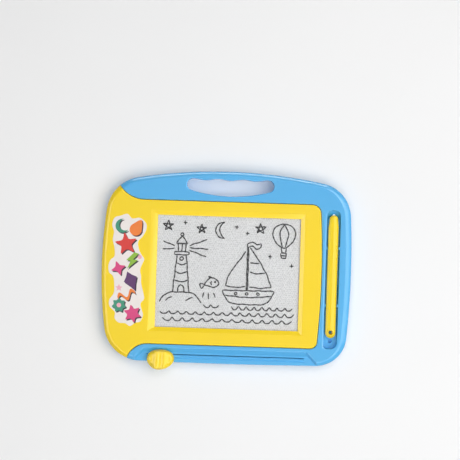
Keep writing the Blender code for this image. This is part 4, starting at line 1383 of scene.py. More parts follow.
@dataclass
class FrontBezel:
    """The yellow front shell with the drawing window and its sloping edge."""

    plan: CasePlan = CasePlan()
    join_lip: RoundEdge = RoundEdge(0.7 * MM, 0.7 * MM)
    inner_foot: float = 11.5 * MM
    chamfer: float = 0.2 * MM
    wall: float = 1 * MM
    window: tuple[float, float] = (51.2 * MM, 40.1 * MM)
    slope_left: float = 5.2 * MM
    slope_top: float = 3.8 * MM
    slope_right: float = 3 * MM
    slope_bottom: float = 3.1 * MM
    slope_foot: float = 12 * MM
    window_foot: float = 11.5 * MM
    edge_round: float = 0.3 * MM
    rim_rings: int = 8
    left_points: int = 200

    def ring(self, inset: float, grow: float, level: float, join_level: Callable[[Vector], float]) -> Points:
        """One ring round the shell.

        Args:
            inset: How far the outline is moved in.
            grow: How far the join is moved out.
            level: Height over the outline.
            join_level: Gives the height at a point of the join.

        Returns:
            The points of the ring.
        """
        plan = self.plan
        tips = (plan.tip(upper, inset, grow) for upper in (True, False))
        outer = run_between(plan.outline(inset), *tips, self.left_points)
        join = [Vector((*point, join_level(point))) for point in plan.join(inset, grow)[1:-1]]
        return lifted(outer, level) + join

    def foot_ring(self, inset: float, lift: float) -> Points:
        """A ring along the lower edge of the walls, shallow where the join has the housing under it.

        Args:
            inset: How far the outline is moved in.
            lift: How far the ring is raised.

        Returns:
            The points of the ring.
        """
        foot = self.plan.wall_foot
        return self.ring(inset, 0, foot + lift, lambda point: lift + (
            foot if self.plan.near_edge(point) else self.inner_foot))

    def window_ring(self, share: float, margin: float, level: float) -> Points:
        """A rectangle round the window, a share of the way from its inner to its outer edge.

        Args:
            share: Share of the way out.
            margin: How much further out.
            level: Height of the ring.

        Returns:
            Its four corners.
        """
        across, along = self.window
        left = -across - self.slope_left * share - margin
        right = across + self.slope_right * share + margin
        bottom = -along - self.slope_bottom * share - margin
        top = along + self.slope_top * share + margin
        corners = ((left, bottom), (right, bottom), (right, top), (left, top))
        return [Vector((*corner, level)) for corner in corners]

    def build(self) -> None:
        """Build the shell."""
        plan, face, small, foot = self.plan, self.plan.face, self.edge_round, self.slope_foot
        skin, rings = Skin(), []
        for share in shares(self.rim_rings):
            inset, drop = plan.rim.at(share)
            lip_inset, lip_drop = self.join_lip.at(share)
            rings.append(self.ring(inset, -lip_inset, face - drop,
                                   lambda point: min(face - lip_drop, plan.rim_level(point))))
        skin.loft([self.foot_ring(self.chamfer, 0), self.foot_ring(0, self.chamfer), *rings])
        fall = face - foot
        skin.loft([self.window_ring(*place) for place in (
            (1, small, face), (1, small * 0.45, face - 0.02 * MM), (1, 0, face - 0.07 * MM),
            (0.93, 0, face - fall * 0.09), (0.06, 0, foot + fall * 0.06), (0.015, 0, foot - 0.02 * MM),
            (0, 0, foot - 0.14 * MM), (0, 0, self.window_foot))])
        skin.cap(face)
        skin.face_up(face)
        Piece("front_bezel_shell", YELLOW, "front_bezel", self.wall).make(skin)


@dataclass
class BackCover:
    """The rear tray: rolled edge, hand hole, screw recesses and a shallow frame line on its back."""

    screws: Points
    plan: CasePlan = CasePlan()
    hole: HandleHole = HandleHole()
    parting: float = 5.5 * MM
    rim: RoundEdge = RoundEdge(1.5 * MM, 2.2 * MM)
    hole_lip: RoundEdge = RoundEdge(0.8 * MM, 0.8 * MM)
    recess_edge: RoundEdge = RoundEdge(0.15 * MM, 0.15 * MM)
    recess_radius: float = 2.1 * MM
    recess_depth: float = 2.9 * MM
    bore_radius: float = 1.25 * MM
    lip_inset: float = 1.35 * MM
    lip_top: float = 7 * MM
    line_half: tuple[float, float] = (50 * MM, 38 * MM)
    line_half_width: float = 0.6 * MM
    line_depth: float = 0.4 * MM
    line_corner: float = 6 * MM
    chamfer: float = 0.2 * MM
    wall: float = 0.9 * MM
    steps: int = 8

    def frame_line(self, grow: float, level: float) -> Points:
        """The rounded rectangle of the frame line, moved out by grow.

        Args:
            grow: How far it is moved out.
            level: Height of the ring.

        Returns:
            The points.
        """
        across, along = (half - self.line_corner for half in self.line_half)
        points = []
        for number, (side_x, side_y) in enumerate(((1, 1), (-1, 1), (-1, -1), (1, -1))):
            circle = Circle(side_x * across, side_y * along, self.line_corner + grow)
            points += circle.arc(number * QUARTER, (number + 1) * QUARTER, self.steps)
        return lifted(points, level)

    def build(self) -> None:
        """Build the tray."""
        skin, outline = Skin(), self.plan.outline
        skin.loft(self.rim.rings(shares(self.steps)[::-1], outline, 0, 1) + [
            lifted(outline(inset), level) for inset, level in (
                (0, self.parting - self.chamfer), (self.chamfer, self.parting),
                (self.lip_inset, self.parting), (self.lip_inset, self.lip_top))])
        skin.loft(self.hole.tube(self.hole_lip, self.steps, 0, self.parting))
        skin.loft([self.frame_line(self.line_half_width * out, self.line_depth * deep) for out, deep in (
            (1, 0), (0.5, 0.8), (0, 1), (-0.5, 0.8), (-1, 0))])
        for place in self.screws:
            circle = Circle(*place, self.recess_radius)
            bore = Circle(*place, self.bore_radius)
            rings = self.recess_edge.rings(HOLE_SHARES, lambda inset: circle.grown(inset).around(28), 0, 1)
            skin.loft(rings + [lifted(ring.around(28), level) for ring, level in (
                (circle, self.recess_depth), (bore, self.recess_depth),
                (bore, self.recess_depth + self.wall))])
        skin.cap(0)
        skin.face_up(0, -1)
        Piece("back_cover_shell", BLUE, "back_cover", self.wall).make(skin)


# ---------------------------------------------------------------- panel and drawing

@dataclass
class CellGrid:
    """The honeycomb plate behind the film."""

    half_width: float = 52.5 * MM
    half_height: float = 41.4 * MM
    top: float = 10.65 * MM
    base: float = 9.15 * MM
    pitch: float = 1.7 * MM
    wall: float = 0.16 * MM
    depth: float = 0.5 * MM
    smallest: float = 0.35 * MM

    def tile(self, mesh: bmesh.types.BMesh) -> None:
        """Lay hexagons over the panel, row by row.

        Args:
            mesh: The mesh that gets them.
        """
        radius = self.pitch / math.sqrt(3)
        rise = radius * 1.5
        columns = math.ceil(self.half_width / self.pitch) + 1
        rows = math.ceil(self.half_height / rise) + 1
        for column in range(-columns, columns + 1):
            spot = Matrix.Translation((column * self.pitch, -rows * rise, self.top))
            bmesh.ops.create_circle(mesh, cap_ends=True, segments=6, radius=radius, matrix=spot)
        row = list(mesh.faces)
        for index in range(1, 2 * rows + 1):
            geom = list(row) + list({item for face in row for item in (*face.verts, *face.edges)})
            copied = bmesh.ops.duplicate(mesh, geom=geom)["geom"]
            shift = self.pitch / 2 * (1 if index % 2 else -1)
            bmesh.ops.translate(mesh, verts=fresh_corners(copied), vec=Vector((shift, rise, 0)))
            row = [item for item in copied if isinstance(item, bmesh.types.BMFace)]
        bmesh.ops.remove_doubles(mesh, verts=mesh.verts, dist=0.02 * MM)

    def build(self) -> None:
        """Tile hexagons, trim them to the panel, and sink each cell."""
        skin = Skin()
        mesh = skin.mesh
        self.tile(mesh)
        for normal, reach in (((1, 0, 0), self.half_width), ((-1, 0, 0), self.half_width),
                              ((0, 1, 0), self.half_height), ((0, -1, 0), self.half_height)):
            bmesh.ops.bisect_plane(
                mesh, geom=[*mesh.verts, *mesh.edges, *mesh.faces], dist=MERGE, clear_outer=True,
                plane_co=Vector(normal) * reach, plane_no=Vector(normal))
        cells = [face for face in mesh.faces if face.calc_area() >= self.smallest ** 2]
        bmesh.ops.recalc_face_normals(mesh, faces=mesh.faces)
        if mesh.faces[:][0].normal.z < 0:
            bmesh.ops.reverse_faces(mesh, faces=mesh.faces)
        bmesh.ops.inset_individual(mesh, faces=cells, thickness=self.wall / 2, use_even_offset=True)
        for cell in bmesh.ops.extrude_discrete_faces(mesh, faces=cells)["faces"]:
            for corner in cell.verts:
                corner.co.z -= self.depth
        border = [edge for edge in mesh.edges if edge.is_boundary]
        down = bmesh.ops.extrude_edge_only(mesh, edges=border)["geom"]
        for corner in fresh_corners(down):
            corner.co.z = self.base
        skin.fill(fresh_edges(down))
        bmesh.ops.recalc_face_normals(mesh, faces=mesh.faces)
        Piece("panel_honeycomb", CELLS, "panel_cell_core").make(skin)


class Line(Enum):
    """How a drawn line runs through its points."""

    STRAIGHT = "line"
    CURVED = "curve"
    CLOSED = "loop"


@dataclass(frozen=True)
class Stroke:
    """One drawn line: how it runs and the points it runs through, in millimetres on the panel."""

    line: Line
    points: list[tuple[float, float]]


# Each motif's strokes: a kind, then x and y of its points in millimetres, or the size of a shape.
MOTIFS: dict[str, tuple[tuple[str | float, ...], ...]] = {
    "lighthouse on its rock, with its beams": (
        ("line", -39.4, -15, -36.8, 12), ("line", -27.6, -15, -30.2, 12), ("line", -38.6, 12, -28.4, 12),
        ("line", -38.6, 12, -38.6, 14.2, -28.4, 14.2, -28.4, 12),
        ("line", -36.2, 14.2, -36.2, 20, -30.8, 20, -30.8, 14.2),
        ("line", -37.6, 20, -33.5, 25.5, -29.4, 20, -37.6, 20), ("ring", -33.5, 26.6, 1),
        ("line", -33.5, 14.4, -33.5, 19.8), ("curve", -37.2, 6, -33.5, 4.8, -29.8, 6),
        ("curve", -37.8, 0, -33.5, -1.4, -29.2, 0), ("curve", -38.5, -6, -33.5, -7.5, -28.5, -6),
        ("curve", -35.6, -15.2, -35.6, -11.5, -33.5, -9.6, -31.4, -11.5, -31.4, -15.2),
        ("ring", -33.5, 9.2, 1.3),
        ("curve", -48.5, -22, -45.5, -17.5, -41, -15.2, -33, -14.8, -26, -15.2, -21.5, -18, -18.5, -22.5),
        ("curve", -44, -21.5, -42, -19, -39.5, -18.2), ("curve", -30, -21, -27, -19, -24.5, -18.6),
        ("line", -28.2, 18.6, -15.5, 23.4), ("line", -28, 17, -14.5, 16.6),
        ("line", -28.2, 15.4, -16, 11), ("line", -38.8, 18.2, -47, 21.6),
        ("line", -38.8, 16.4, -47.6, 15.6)),
    "sailing boat": (
        ("curve", -3.5, -12.5, -1.5, -17.5, 3, -21.5, 14, -22.3, 26, -21.8, 31, -18, 33.5, -12.2),
        ("line", -3.5, -12.5, 33.5, -12.2), ("curve", -1.8, -16, 14, -17.2, 31.6, -16),
        ("line", 13.6, -12.4, 13.6, 21.5), ("line", 14.4, -12.4, 14.4, 19),
        ("curve", 15.4, 18.5, 23, 8, 28.5, -2, 31.2, -9.4), ("curve", 31.2, -9.4, 24, -10.4, 15.6, -9.6),
        ("curve", 12.6, 15.8, 6, 6.5, 1, -1, -1.6, -9), ("curve", -1.6, -9, 5, -10.2, 12.6, -9.4),
        ("curve", 15.4, 8, 19, 7.2, 22.6, 7.6), ("curve", 15.4, 1, 21, 0, 26.6, 0.6),
        ("curve", 13.6, 21.4, 17, 22.6, 20, 20.8, 23, 21.8),
        ("curve", 13.6, 18.6, 17, 19.6, 20, 17.8, 23, 18.8, 23, 21.8), ("ring", 6, -14.6, 0.9),
        ("ring", 14, -14.6, 0.9), ("ring", 22, -14.6, 0.9)),
    "hot-air balloon": (
        ("loop", 39.5, 36.2, 33.6, 34.2, 31.2, 28.8, 33.4, 23.6, 37.4, 19.6, 41.6, 19.6, 45.6, 23.6, 47.8,
         28.8, 45.4, 34.2), ("curve", 39.5, 36.2, 36.4, 29, 38.6, 19.6),
        ("curve", 39.5, 36.2, 42.6, 29, 40.4, 19.6), ("line", 37.8, 19.4, 38.2, 15.4),
        ("line", 41.2, 19.4, 40.8, 15.4),
        ("line", 37.4, 15.4, 41.6, 15.4, 41, 11.6, 38, 11.6, 37.4, 15.4),
        ("line", 37.7, 13.6, 41.3, 13.6)),
    "moon and stars": (
        ("curve", -3.4, 36.4, -8, 34.6, -9.6, 30, -7.6, 25.8, -3, 24.6),
        ("curve", -3.4, 36.4, -6.2, 33.4, -6.6, 29.6, -5.4, 26.6, -3, 24.6), ("star", -43.6, 32.6, 4),
        ("star", -19.6, 31, 3.6), ("star", 22.4, 32.4, 4), ("plus", -31.6, 35.2), ("plus", 5.4, 33),
        ("plus", 13.2, 28.6), ("plus", 45.4, 6.4), ("plus", 30, 12.6)),
    "waves and a fish that leaps out of them": (
        ("wave", -24.4, -17, -6, 5.5), ("wave", -25.2, 3, 47, 5.5), ("wave", -29.6, -48, 48, 6.4),
        ("wave", -34.4, -46, 47, 7.2),
        ("loop", -16.4, -8.6, -13, -4.4, -8.6, -4.6, -6.4, -8.4, -9.6, -10.6, -14, -9.8),
        ("curve", -16.4, -8.6, -19.6, -8.4, -18.6, -11.6, -16.4, -8.6), ("ring", -8.9, -7, 0.5),
        ("curve", -12.4, -4.6, -13.6, -2.8, -10.6, -4.2), ("curve", -11.4, -6, -12.2, -7.6, -11.2, -9.4),
        ("line", -16.8, -14.4, -17.6, -18.4), ("line", -13.4, -14.8, -13.4, -19.4),
        ("line", -9.8, -14.4, -8.8, -18.2)),
}


def ring_strokes(x: float, y: float, radius: float) -> list[Stroke]:
    """A drawn circle."""
    points = Circle(0, 0, radius).arc(0.3, 0.3 + math.tau * 0.999, 12)[:-1]
    return [Stroke(Line.CLOSED, [(x + point.x, y + point.y) for point in points])]


def star_strokes(x: float, y: float, radius: float) -> list[Stroke]:
    """A five-pointed star in one line.

    Args:
        x: The middle across.
        y: The middle along.
        radius: Its size.

    Returns:
        The strokes.
    """
    angles = [QUARTER + index * math.tau * 2 / 5 for index in range(6)]
    return [Stroke(Line.STRAIGHT, [
        (x + radius * math.cos(angle), y + radius * math.sin(angle)) for angle in angles])]


def plus_strokes(x: float, y: float) -> list[Stroke]:
    """A small cross that stands for a far star."""
    across, along = [(x - 1.5, y), (x + 1.5, y)], [(x, y - 1.5), (x, y + 1.5)]
    return [Stroke(Line.STRAIGHT, points) for points in (across, along)]


def wave_strokes(level: float, start: float, end: float, span: float) -> list[Stroke]:
    """A row of waves from start to end, each about a span wide.

    Args:
        level: Height of the row on the panel.
        start: Where it starts.
        end: Where it ends.
        span: Rough width of a wave.

    Returns:
        The strokes.
    """
    points, count = [], round((end - start) / span)
    width = (end - start) / count
    for index in range(count):
        x = start + (end - start) * index / count
        points += [(x, level + 1.1), (x + width * 0.3, level - 0.8), (x + width * 0.7, level - 0.7)]
    return [Stroke(Line.CURVED, [*points, (end, level + 1.1)])]


@dataclass
class Drawing:
    """A child's line drawing in iron particles: a lighthouse, a sailing boat, a balloon and the sea."""

    level: float = 10.68 * MM
    half_width: float = 0.42 * MM
    thickness: float = 0.06 * MM
    step: float = 0.5 * MM
    wobble: float = 0.16 * MM
    layer: float = 0.0004 * MM
    layers: int = 40

    def strokes(self) -> list[Stroke]:
        """Every stroke of the motifs, in the order in which they are drawn.

        Returns:
            The strokes.
        """
        shapes = {"ring": ring_strokes, "star": star_strokes, "plus": plus_strokes, "wave": wave_strokes}
        strokes = []
        for kind, *sizes in (row for motif in MOTIFS.values() for row in motif):
            strokes += shapes[kind](*sizes) if kind in shapes else [
                Stroke(Line(kind), list(zip(sizes[::2], sizes[1::2])))]
        return strokes

    def path_of(self, stroke: Stroke, number: int) -> Points:
        """The finely stepped path of a stroke, with a hand's slight wobble.

        Args:
            stroke: The stroke.
            number: Its number, which varies the wobble.

        Returns:
            The points.
        """
        closed = stroke.line is Line.CLOSED
        points = [Vector(point) * MM for point in stroke.points]
        if stroke.line is not Line.STRAIGHT:
            points = smooth_through(points, 8, closed)
        if closed:
            points.append(points[0].copy())
        length = sum((second - first).length for first, second in zip(points, points[1:]))
        path = resampled(points, max(round(length / self.step), 4))
        for index, point in enumerate(path):
            fade = math.sin(math.pi * index / (len(path) - 1)) if closed else 1
            phase = index * 0.31 + number * 1.7
            point.x += self.wobble * fade * math.sin(phase)
            point.y += self.wobble * fade * math.cos(phase * 1.3)
        return path

    def ribbon(self, stroke: Stroke, number: int) -> list[Points]:
        """The pairs of points along both sides of a stroke.

        Args:
            stroke: The stroke.
            number: Its number, which sets its level.

        Returns:
            The pairs, from start to end.
        """
        path, rungs = self.path_of(stroke, number), []
        last = len(path) - 1
        level = UP * (self.level + self.layer * (number % self.layers))
        for index, point in enumerate(path):
            way = path[min(index + 1, last)] - path[max(index - 1, 0)]
            across = Vector((-way.y, way.x)).normalized()
            taper = 1 if stroke.line is Line.CLOSED else min(1, 0.45 + 0.35 * min(index, last - index))
            reach = self.half_width * taper * (1 + 0.16 * math.sin(index * 0.9 + number))
            rungs.append([(point + across * side * reach).to_3d() + level for side in (1, -1)])
        return rungs

    def build(self) -> None:
        """Draw every motif as thin ribbons under the film."""
        skin = Skin()
        for number, stroke in enumerate(self.strokes()):
            skin.loft(self.ribbon(stroke, number), closed=False)
        bmesh.ops.recalc_face_normals(skin.mesh, faces=skin.mesh.faces)
        down = [face for face in skin.mesh.faces if face.normal.z < 0]
        bmesh.ops.reverse_faces(skin.mesh, faces=down)
        Piece("panel_drawing", IRON, wall=self.thickness).make(skin)


# ---------------------------------------------------------------- label

def star_shape(radius: float, waist: float, count: int = 5) -> Points:
    """A soft star with count points, whose inner radius is a share of the outer one.

    Args:
        radius: Reach of the points.
        waist: Share of the radius between them.
        count: How many points.

    Returns:
        The points.
    """
    corners = []
    for index in range(2 * count):
        angle = QUARTER + index * math.pi / count
        corners.append(Vector((math.cos(angle), math.sin(angle))) * radius * (waist if index % 2 else 1))
    return smooth_through(corners, 5, True)


def crescent(radius: float) -> Points:
    """A crescent moon, open to the right.

    Args:
        radius: Radius of its outer side.

    Returns:
        The points.
    """
    outer, inner = Circle(0, 0, radius), Circle(radius * 0.42, 0, radius * 0.84)
    top, low = (outer.meeting(inner, (0, side)) for side in (1, -1))
    return (outer.arc(outer.angle_to(top), outer.angle_to(low), 26)
            + inner.arc(inner.angle_to(low), inner.angle_to(top), 20, True)[1:-1])


def droplet(radius: float) -> Points:
    """A drop with its point up."""
    body = Circle(0, -radius * 0.25, radius * 0.78).arc(math.radians(160), math.radians(20), 18)
    return smooth_through([*body, Vector((0, radius * 1.2))], 3, True)


def bolt(size: float) -> Points:
    """A zigzag flash."""
    corners = ((0.1, 1), (-0.62, -0.06), (-0.12, -0.02), (-0.34, -1), (0.66, 0.22), (0.1, 0.16), (0.62, 0.92))
    return [Vector(corner) * size for corner in corners]


def diamond(half_width: float, half_height: float) -> Points:
    """A kite with slightly hollow sides.

    Args:
        half_width: Half its width.
        half_height: Half its height.

    Returns:
        The points.
    """
    shoulder = half_height * 0.2
    corners = [Vector(corner) for corner in (
        (0, half_height), (-half_width, shoulder), (0, -half_height), (half_width, shoulder))]
    pairs = zip(corners, corners[1:] + corners[:1])
    return [point for start, end in pairs for point in (start, start.lerp(end, 0.5) * 0.92)]


def wave_band(length: float, height: float, width: float) -> Points:
    """A wavy band of even width.

    Args:
        length: Its length.
        height: How far it swings.
        width: Its width.

    Returns:
        The points.
    """
    middle = [Vector((length * (share - 0.5), height * math.sin(math.tau * 1.5 * share)))
              for share in shares(32)]
    upper, lower = ([point + Vector((0, side * width / 2)) for point in middle] for side in (1, -1))
    return upper + lower[::-1]


@dataclass
class Label:
    """The die-cut paper label on the flange, printed with bright shapes."""

    x: float = -72.4 * MM
    base: float = 14.03 * MM
    thickness: float = 0.27 * MM
    print_level: float = 14.31 * MM
    print_step: float = 0.022 * MM
    shadow_shift: float = 0.8 * MM
    outline: tuple[tuple[float, float], ...] = (
        (-0.6, 40.0), (2.8, 36.8), (8.4, 37.4), (12.8, 33.6), (13.0, 29.0), (10.6, 24.2), (7.6, 20.4),
        (8.2, 15.0), (10.0, 11.4), (12.2, 8.0), (10.8, 4.2), (9.6, 0.2), (10.4, -4.6), (10.6, -9.4),
        (12.2, -15.6), (13.0, -20.4), (10.6, -23.8), (11.6, -28.4), (12.6, -32.0), (10.8, -36.6),
        (7.2, -37.6), (3.6, -40.1), (0.0, -38.2), (-4.6, -37.8), (-7.6, -34.8), (-7.6, -30.4),
        (-11.4, -26.6), (-11.8, -21.8), (-8.8, -17.0), (-8.6, -10.6), (-9.6, -5.0), (-12.6, -2.0),
        (-13.1, 3.0), (-11.6, 7.0), (-9.0, 9.6), (-9.2, 15.4), (-10.6, 21.2), (-10.0, 27.0),
        (-11.4, 32.0), (-9.8, 37.0), (-5.4, 38.6))

    def spot(self, x: float, y: float) -> Vector:
        """A point of the board for millimetres from the label's centre."""
        return Vector((self.x, 0)) + Vector((x, y)) * MM

    def lay(self, piece: Piece, outline: Points, low: float, high: float) -> None:
        """Make a flat piece between two heights.

        Args:
            piece: What it becomes.
            outline: Its outline on the board.
            low: Height of its underside.
            high: Height of its top.
        """
        skin = Skin()
        skin.loft([lifted(outline, low), lifted(outline, high)])
        skin.cap(low)
        skin.cap(high)
        skin.close()
        piece.make(skin)

    def motif(self, name: str, ink: Ink, shape: Points, place: tuple[float, float], turn: float,
              shadow: bool = True, layer: int = 1) -> None:
        """Print a motif in millimetres round its own centre, with a shadow under it.

        Args:
            name: Name of the motif.
            ink: Its printing colour.
            shape: Its outline in millimetres.
            place: Where it stands on the label, in millimetres from the label's centre.
            turn: Its turn in degrees.
            shadow: Whether a black shadow lies under it.
            layer: How many shapes lie under it.
        """
        spin = Matrix.Rotation(math.radians(turn), 2)
        outline = [self.spot(*place) + (spin @ point) * MM for point in shape]
        prints = [(f"print_{name}", ink, 0, layer)]
        if shadow:
            prints.insert(0, (f"print_{name}_shadow", Ink.BLACK, self.shadow_shift, 0))
        for title, colour, shift, under in prints:
            top = self.print_level + under * self.print_step
            moved = [point + Vector((shift, -shift)) for point in outline]
            self.lay(Piece(title, colour.finish), moved, top - self.print_step, top)

    def build(self) -> None:
        """Build the paper and print it."""
        paper = smooth_through([self.spot(*corner) for corner in self.outline[::-1]], 5, True)
        self.lay(Piece("label_sheet", PAPER, "flange_label"), paper, self.base, self.base + self.thickness)
        for motif in (
                ("crescent", Ink.TEAL, crescent(5.0), (-4.0, 31.4), 24),
                ("droplet", Ink.ORANGE, droplet(5.6), (6.2, 30.2), -30),
                ("star", Ink.RED, star_shape(8.0, 0.5), (-1.0, 18.6), 10),
                ("bolt", Ink.LIME, bolt(6.4), (3.4, 6.6), -10),
                ("clover", Ink.MAGENTA, star_shape(5.2, 0.5, 4), (-6.0, 1.0), 20),
                ("kite", Ink.PURPLE, diamond(5.0, 7.4), (3.4, -8.0), 24),
                ("wave", Ink.ORANGE, wave_band(13, 2.4, 2.6), (0.4, -18.4), 20),
                ("pebble", Ink.TEAL, star_shape(5.2, 0.74, 7), (-4.8, -25.4), 0),
                ("burst", Ink.MAGENTA, star_shape(6.4, 0.6, 6), (5.0, -31.2), 12),
                ("bead", Ink.PINK, Circle(0, 0, 1.6).around(28), (-4.8, -25.4), 0, False, 2),
                ("spot", Ink.PINK, Circle(0, 0, 1.4).around(28), (9.0, 9.4), 0, False),
                ("fleck", Ink.PINK, star_shape(2.6, 0.5, 5), (-5.2, -13.0), 0, False)):
            self.motif(*motif)


# ---------------------------------------------------------------- eraser knob and pen

@dataclass
class EraserKnob:
    """The knob on the channel: a pebble with hollow finger rests beside a tall, grooved rib."""

    x: float = -46.3 * MM
    y: float = -63 * MM
    half_width: float = 9.8 * MM
    upper_reach: float = 6.9 * MM
    lower_reach: float = 7.9 * MM
    skew: float = 1.1 * MM
    upper_power: float = 2.25
    lower_power: float = 1.8
    base: float = 11.3 * MM
    edge_level: float = 13.8 * MM
    lobe_level: float = 17.6 * MM
    rib_level: float = 19.25 * MM
    edge_width: float = 2.8 * MM
    rib_crest: float = 2.4 * MM
    rib_foot: float = 6.8 * MM
    rib_hollow: float = 0.6 * MM
    scoop_depth: float = 0.35 * MM
    relief_start: float = -58.8 * MM
    relief_rise: float = 0.7586
    blade_half: float = 5.5 * MM
    blade_y: tuple[float, float] = (-59.82 * MM, -59.48 * MM)
    blade_z: tuple[float, float] = (4.9 * MM, 11.6 * MM)
    cells: int = 96

    def lean(self, y: float) -> float:
        """How far the lower part leans to the left at a place along the knob."""
        return self.skew * (min(y, 0) / self.lower_reach) ** 2

    def half(self, y: float) -> tuple[float, float]:
        """Reach and power of the outline on the side of the middle that y is on."""
        return (self.upper_reach, self.upper_power) if y >= 0 else (self.lower_reach, self.lower_power)

    def plan_point(self, across: float, along: float) -> Vector:
        """A grid point from -1 to 1 each way, spread over the pebble outline.

        Args:
            across: Place across, from -1 to 1.
            along: Place along, from -1 to 1.

        Returns:
            The point in plan.
        """
        reach, power = self.half(along)
        y = reach * math.sin(along * QUARTER)
        width = self.half_width * max(1 - (abs(y) / reach) ** power, 0) ** (1 / power)
        return Vector((width * (math.sin(across * QUARTER) * 0.35 + across * 0.65) - self.lean(y), y))

    def top_level(self, point: Vector) -> float:
        """Height of the knob over a point in plan, measured from the knob's centre.

        Args:
            point: The point in plan.

        Returns:
            The height.
        """
        across = abs(point.x + self.lean(point.y))
        reach, power = self.half(point.y)
        out = ((across / self.half_width) ** power + (abs(point.y) / reach) ** power) ** (1 / power)
        radius = max(math.hypot(across, point.y), 0.5 * MM)
        depth = (1 - out) * radius / max(out, 0.05) if out > 0.05 else self.edge_width
        roll = min(depth / self.edge_width, 1)
        rise = math.sqrt(max(1 - (1 - roll) ** 2, 0)) * 0.75 + roll * 0.25
        level = self.edge_level + (self.lobe_level - self.edge_level) * rise
        span = 1 - smoothstep(abs(point.y + 0.8 * MM), 3.4 * MM, 7.2 * MM)
        scoop = smoothstep(across, 2.6 * MM, 5.2 * MM) * (1 - smoothstep(across, 5.6 * MM, 8.6 * MM))
        level -= self.scoop_depth * scoop * span
        ends = smoothstep(point.y, -self.lower_reach, -self.lower_reach + 2.2 * MM)
        ends *= 1 - smoothstep(point.y, self.upper_reach - 1.8 * MM, self.upper_reach)
        body = 1 - smoothstep(across, self.rib_crest, self.rib_foot)
        hollow = self.rib_hollow * (1 - smoothstep(across, 0.4 * MM, self.rib_crest - 0.2 * MM))
        return level + (self.rib_level - hollow - level) * body * ends

    def under_level(self, y: float) -> float:
        """Height of the underside, which rises over the slope of the channel."""
        return max(self.base, self.base + (y - self.relief_start) * self.relief_rise)

    def build(self) -> None:
        """Build the knob from a grid that is raised over the outline, and add its blade."""
        skin = Skin()
        mesh = skin.mesh
        bmesh.ops.create_grid(mesh, x_segments=self.cells, y_segments=self.cells, size=1)
        lower = list(mesh.verts)
        for corner in lower:
            corner.co = self.plan_point(corner.co.x, corner.co.y).to_3d()
        grown = bmesh.ops.extrude_face_region(mesh, geom=list(mesh.faces), use_keep_orig=True)["geom"]
        for corner in lower:
            corner.co.z = self.under_level(corner.co.y + self.y)
        for corner in fresh_corners(grown):
            corner.co.z = self.top_level(corner.co)
        bmesh.ops.translate(mesh, verts=mesh.verts, vec=Vector((self.x, self.y, 0)))
        skin.close()
        low, high = (Vector((self.x + side * self.blade_half, y, z))
                     for side, y, z in zip((-1, 1), self.blade_y, self.blade_z))
        skin.add_block(low, high, 0.08 * MM)
        Piece("eraser_knob", YELLOW, "slider_knob", body="eraser", crease=math.radians(38)).make(skin)


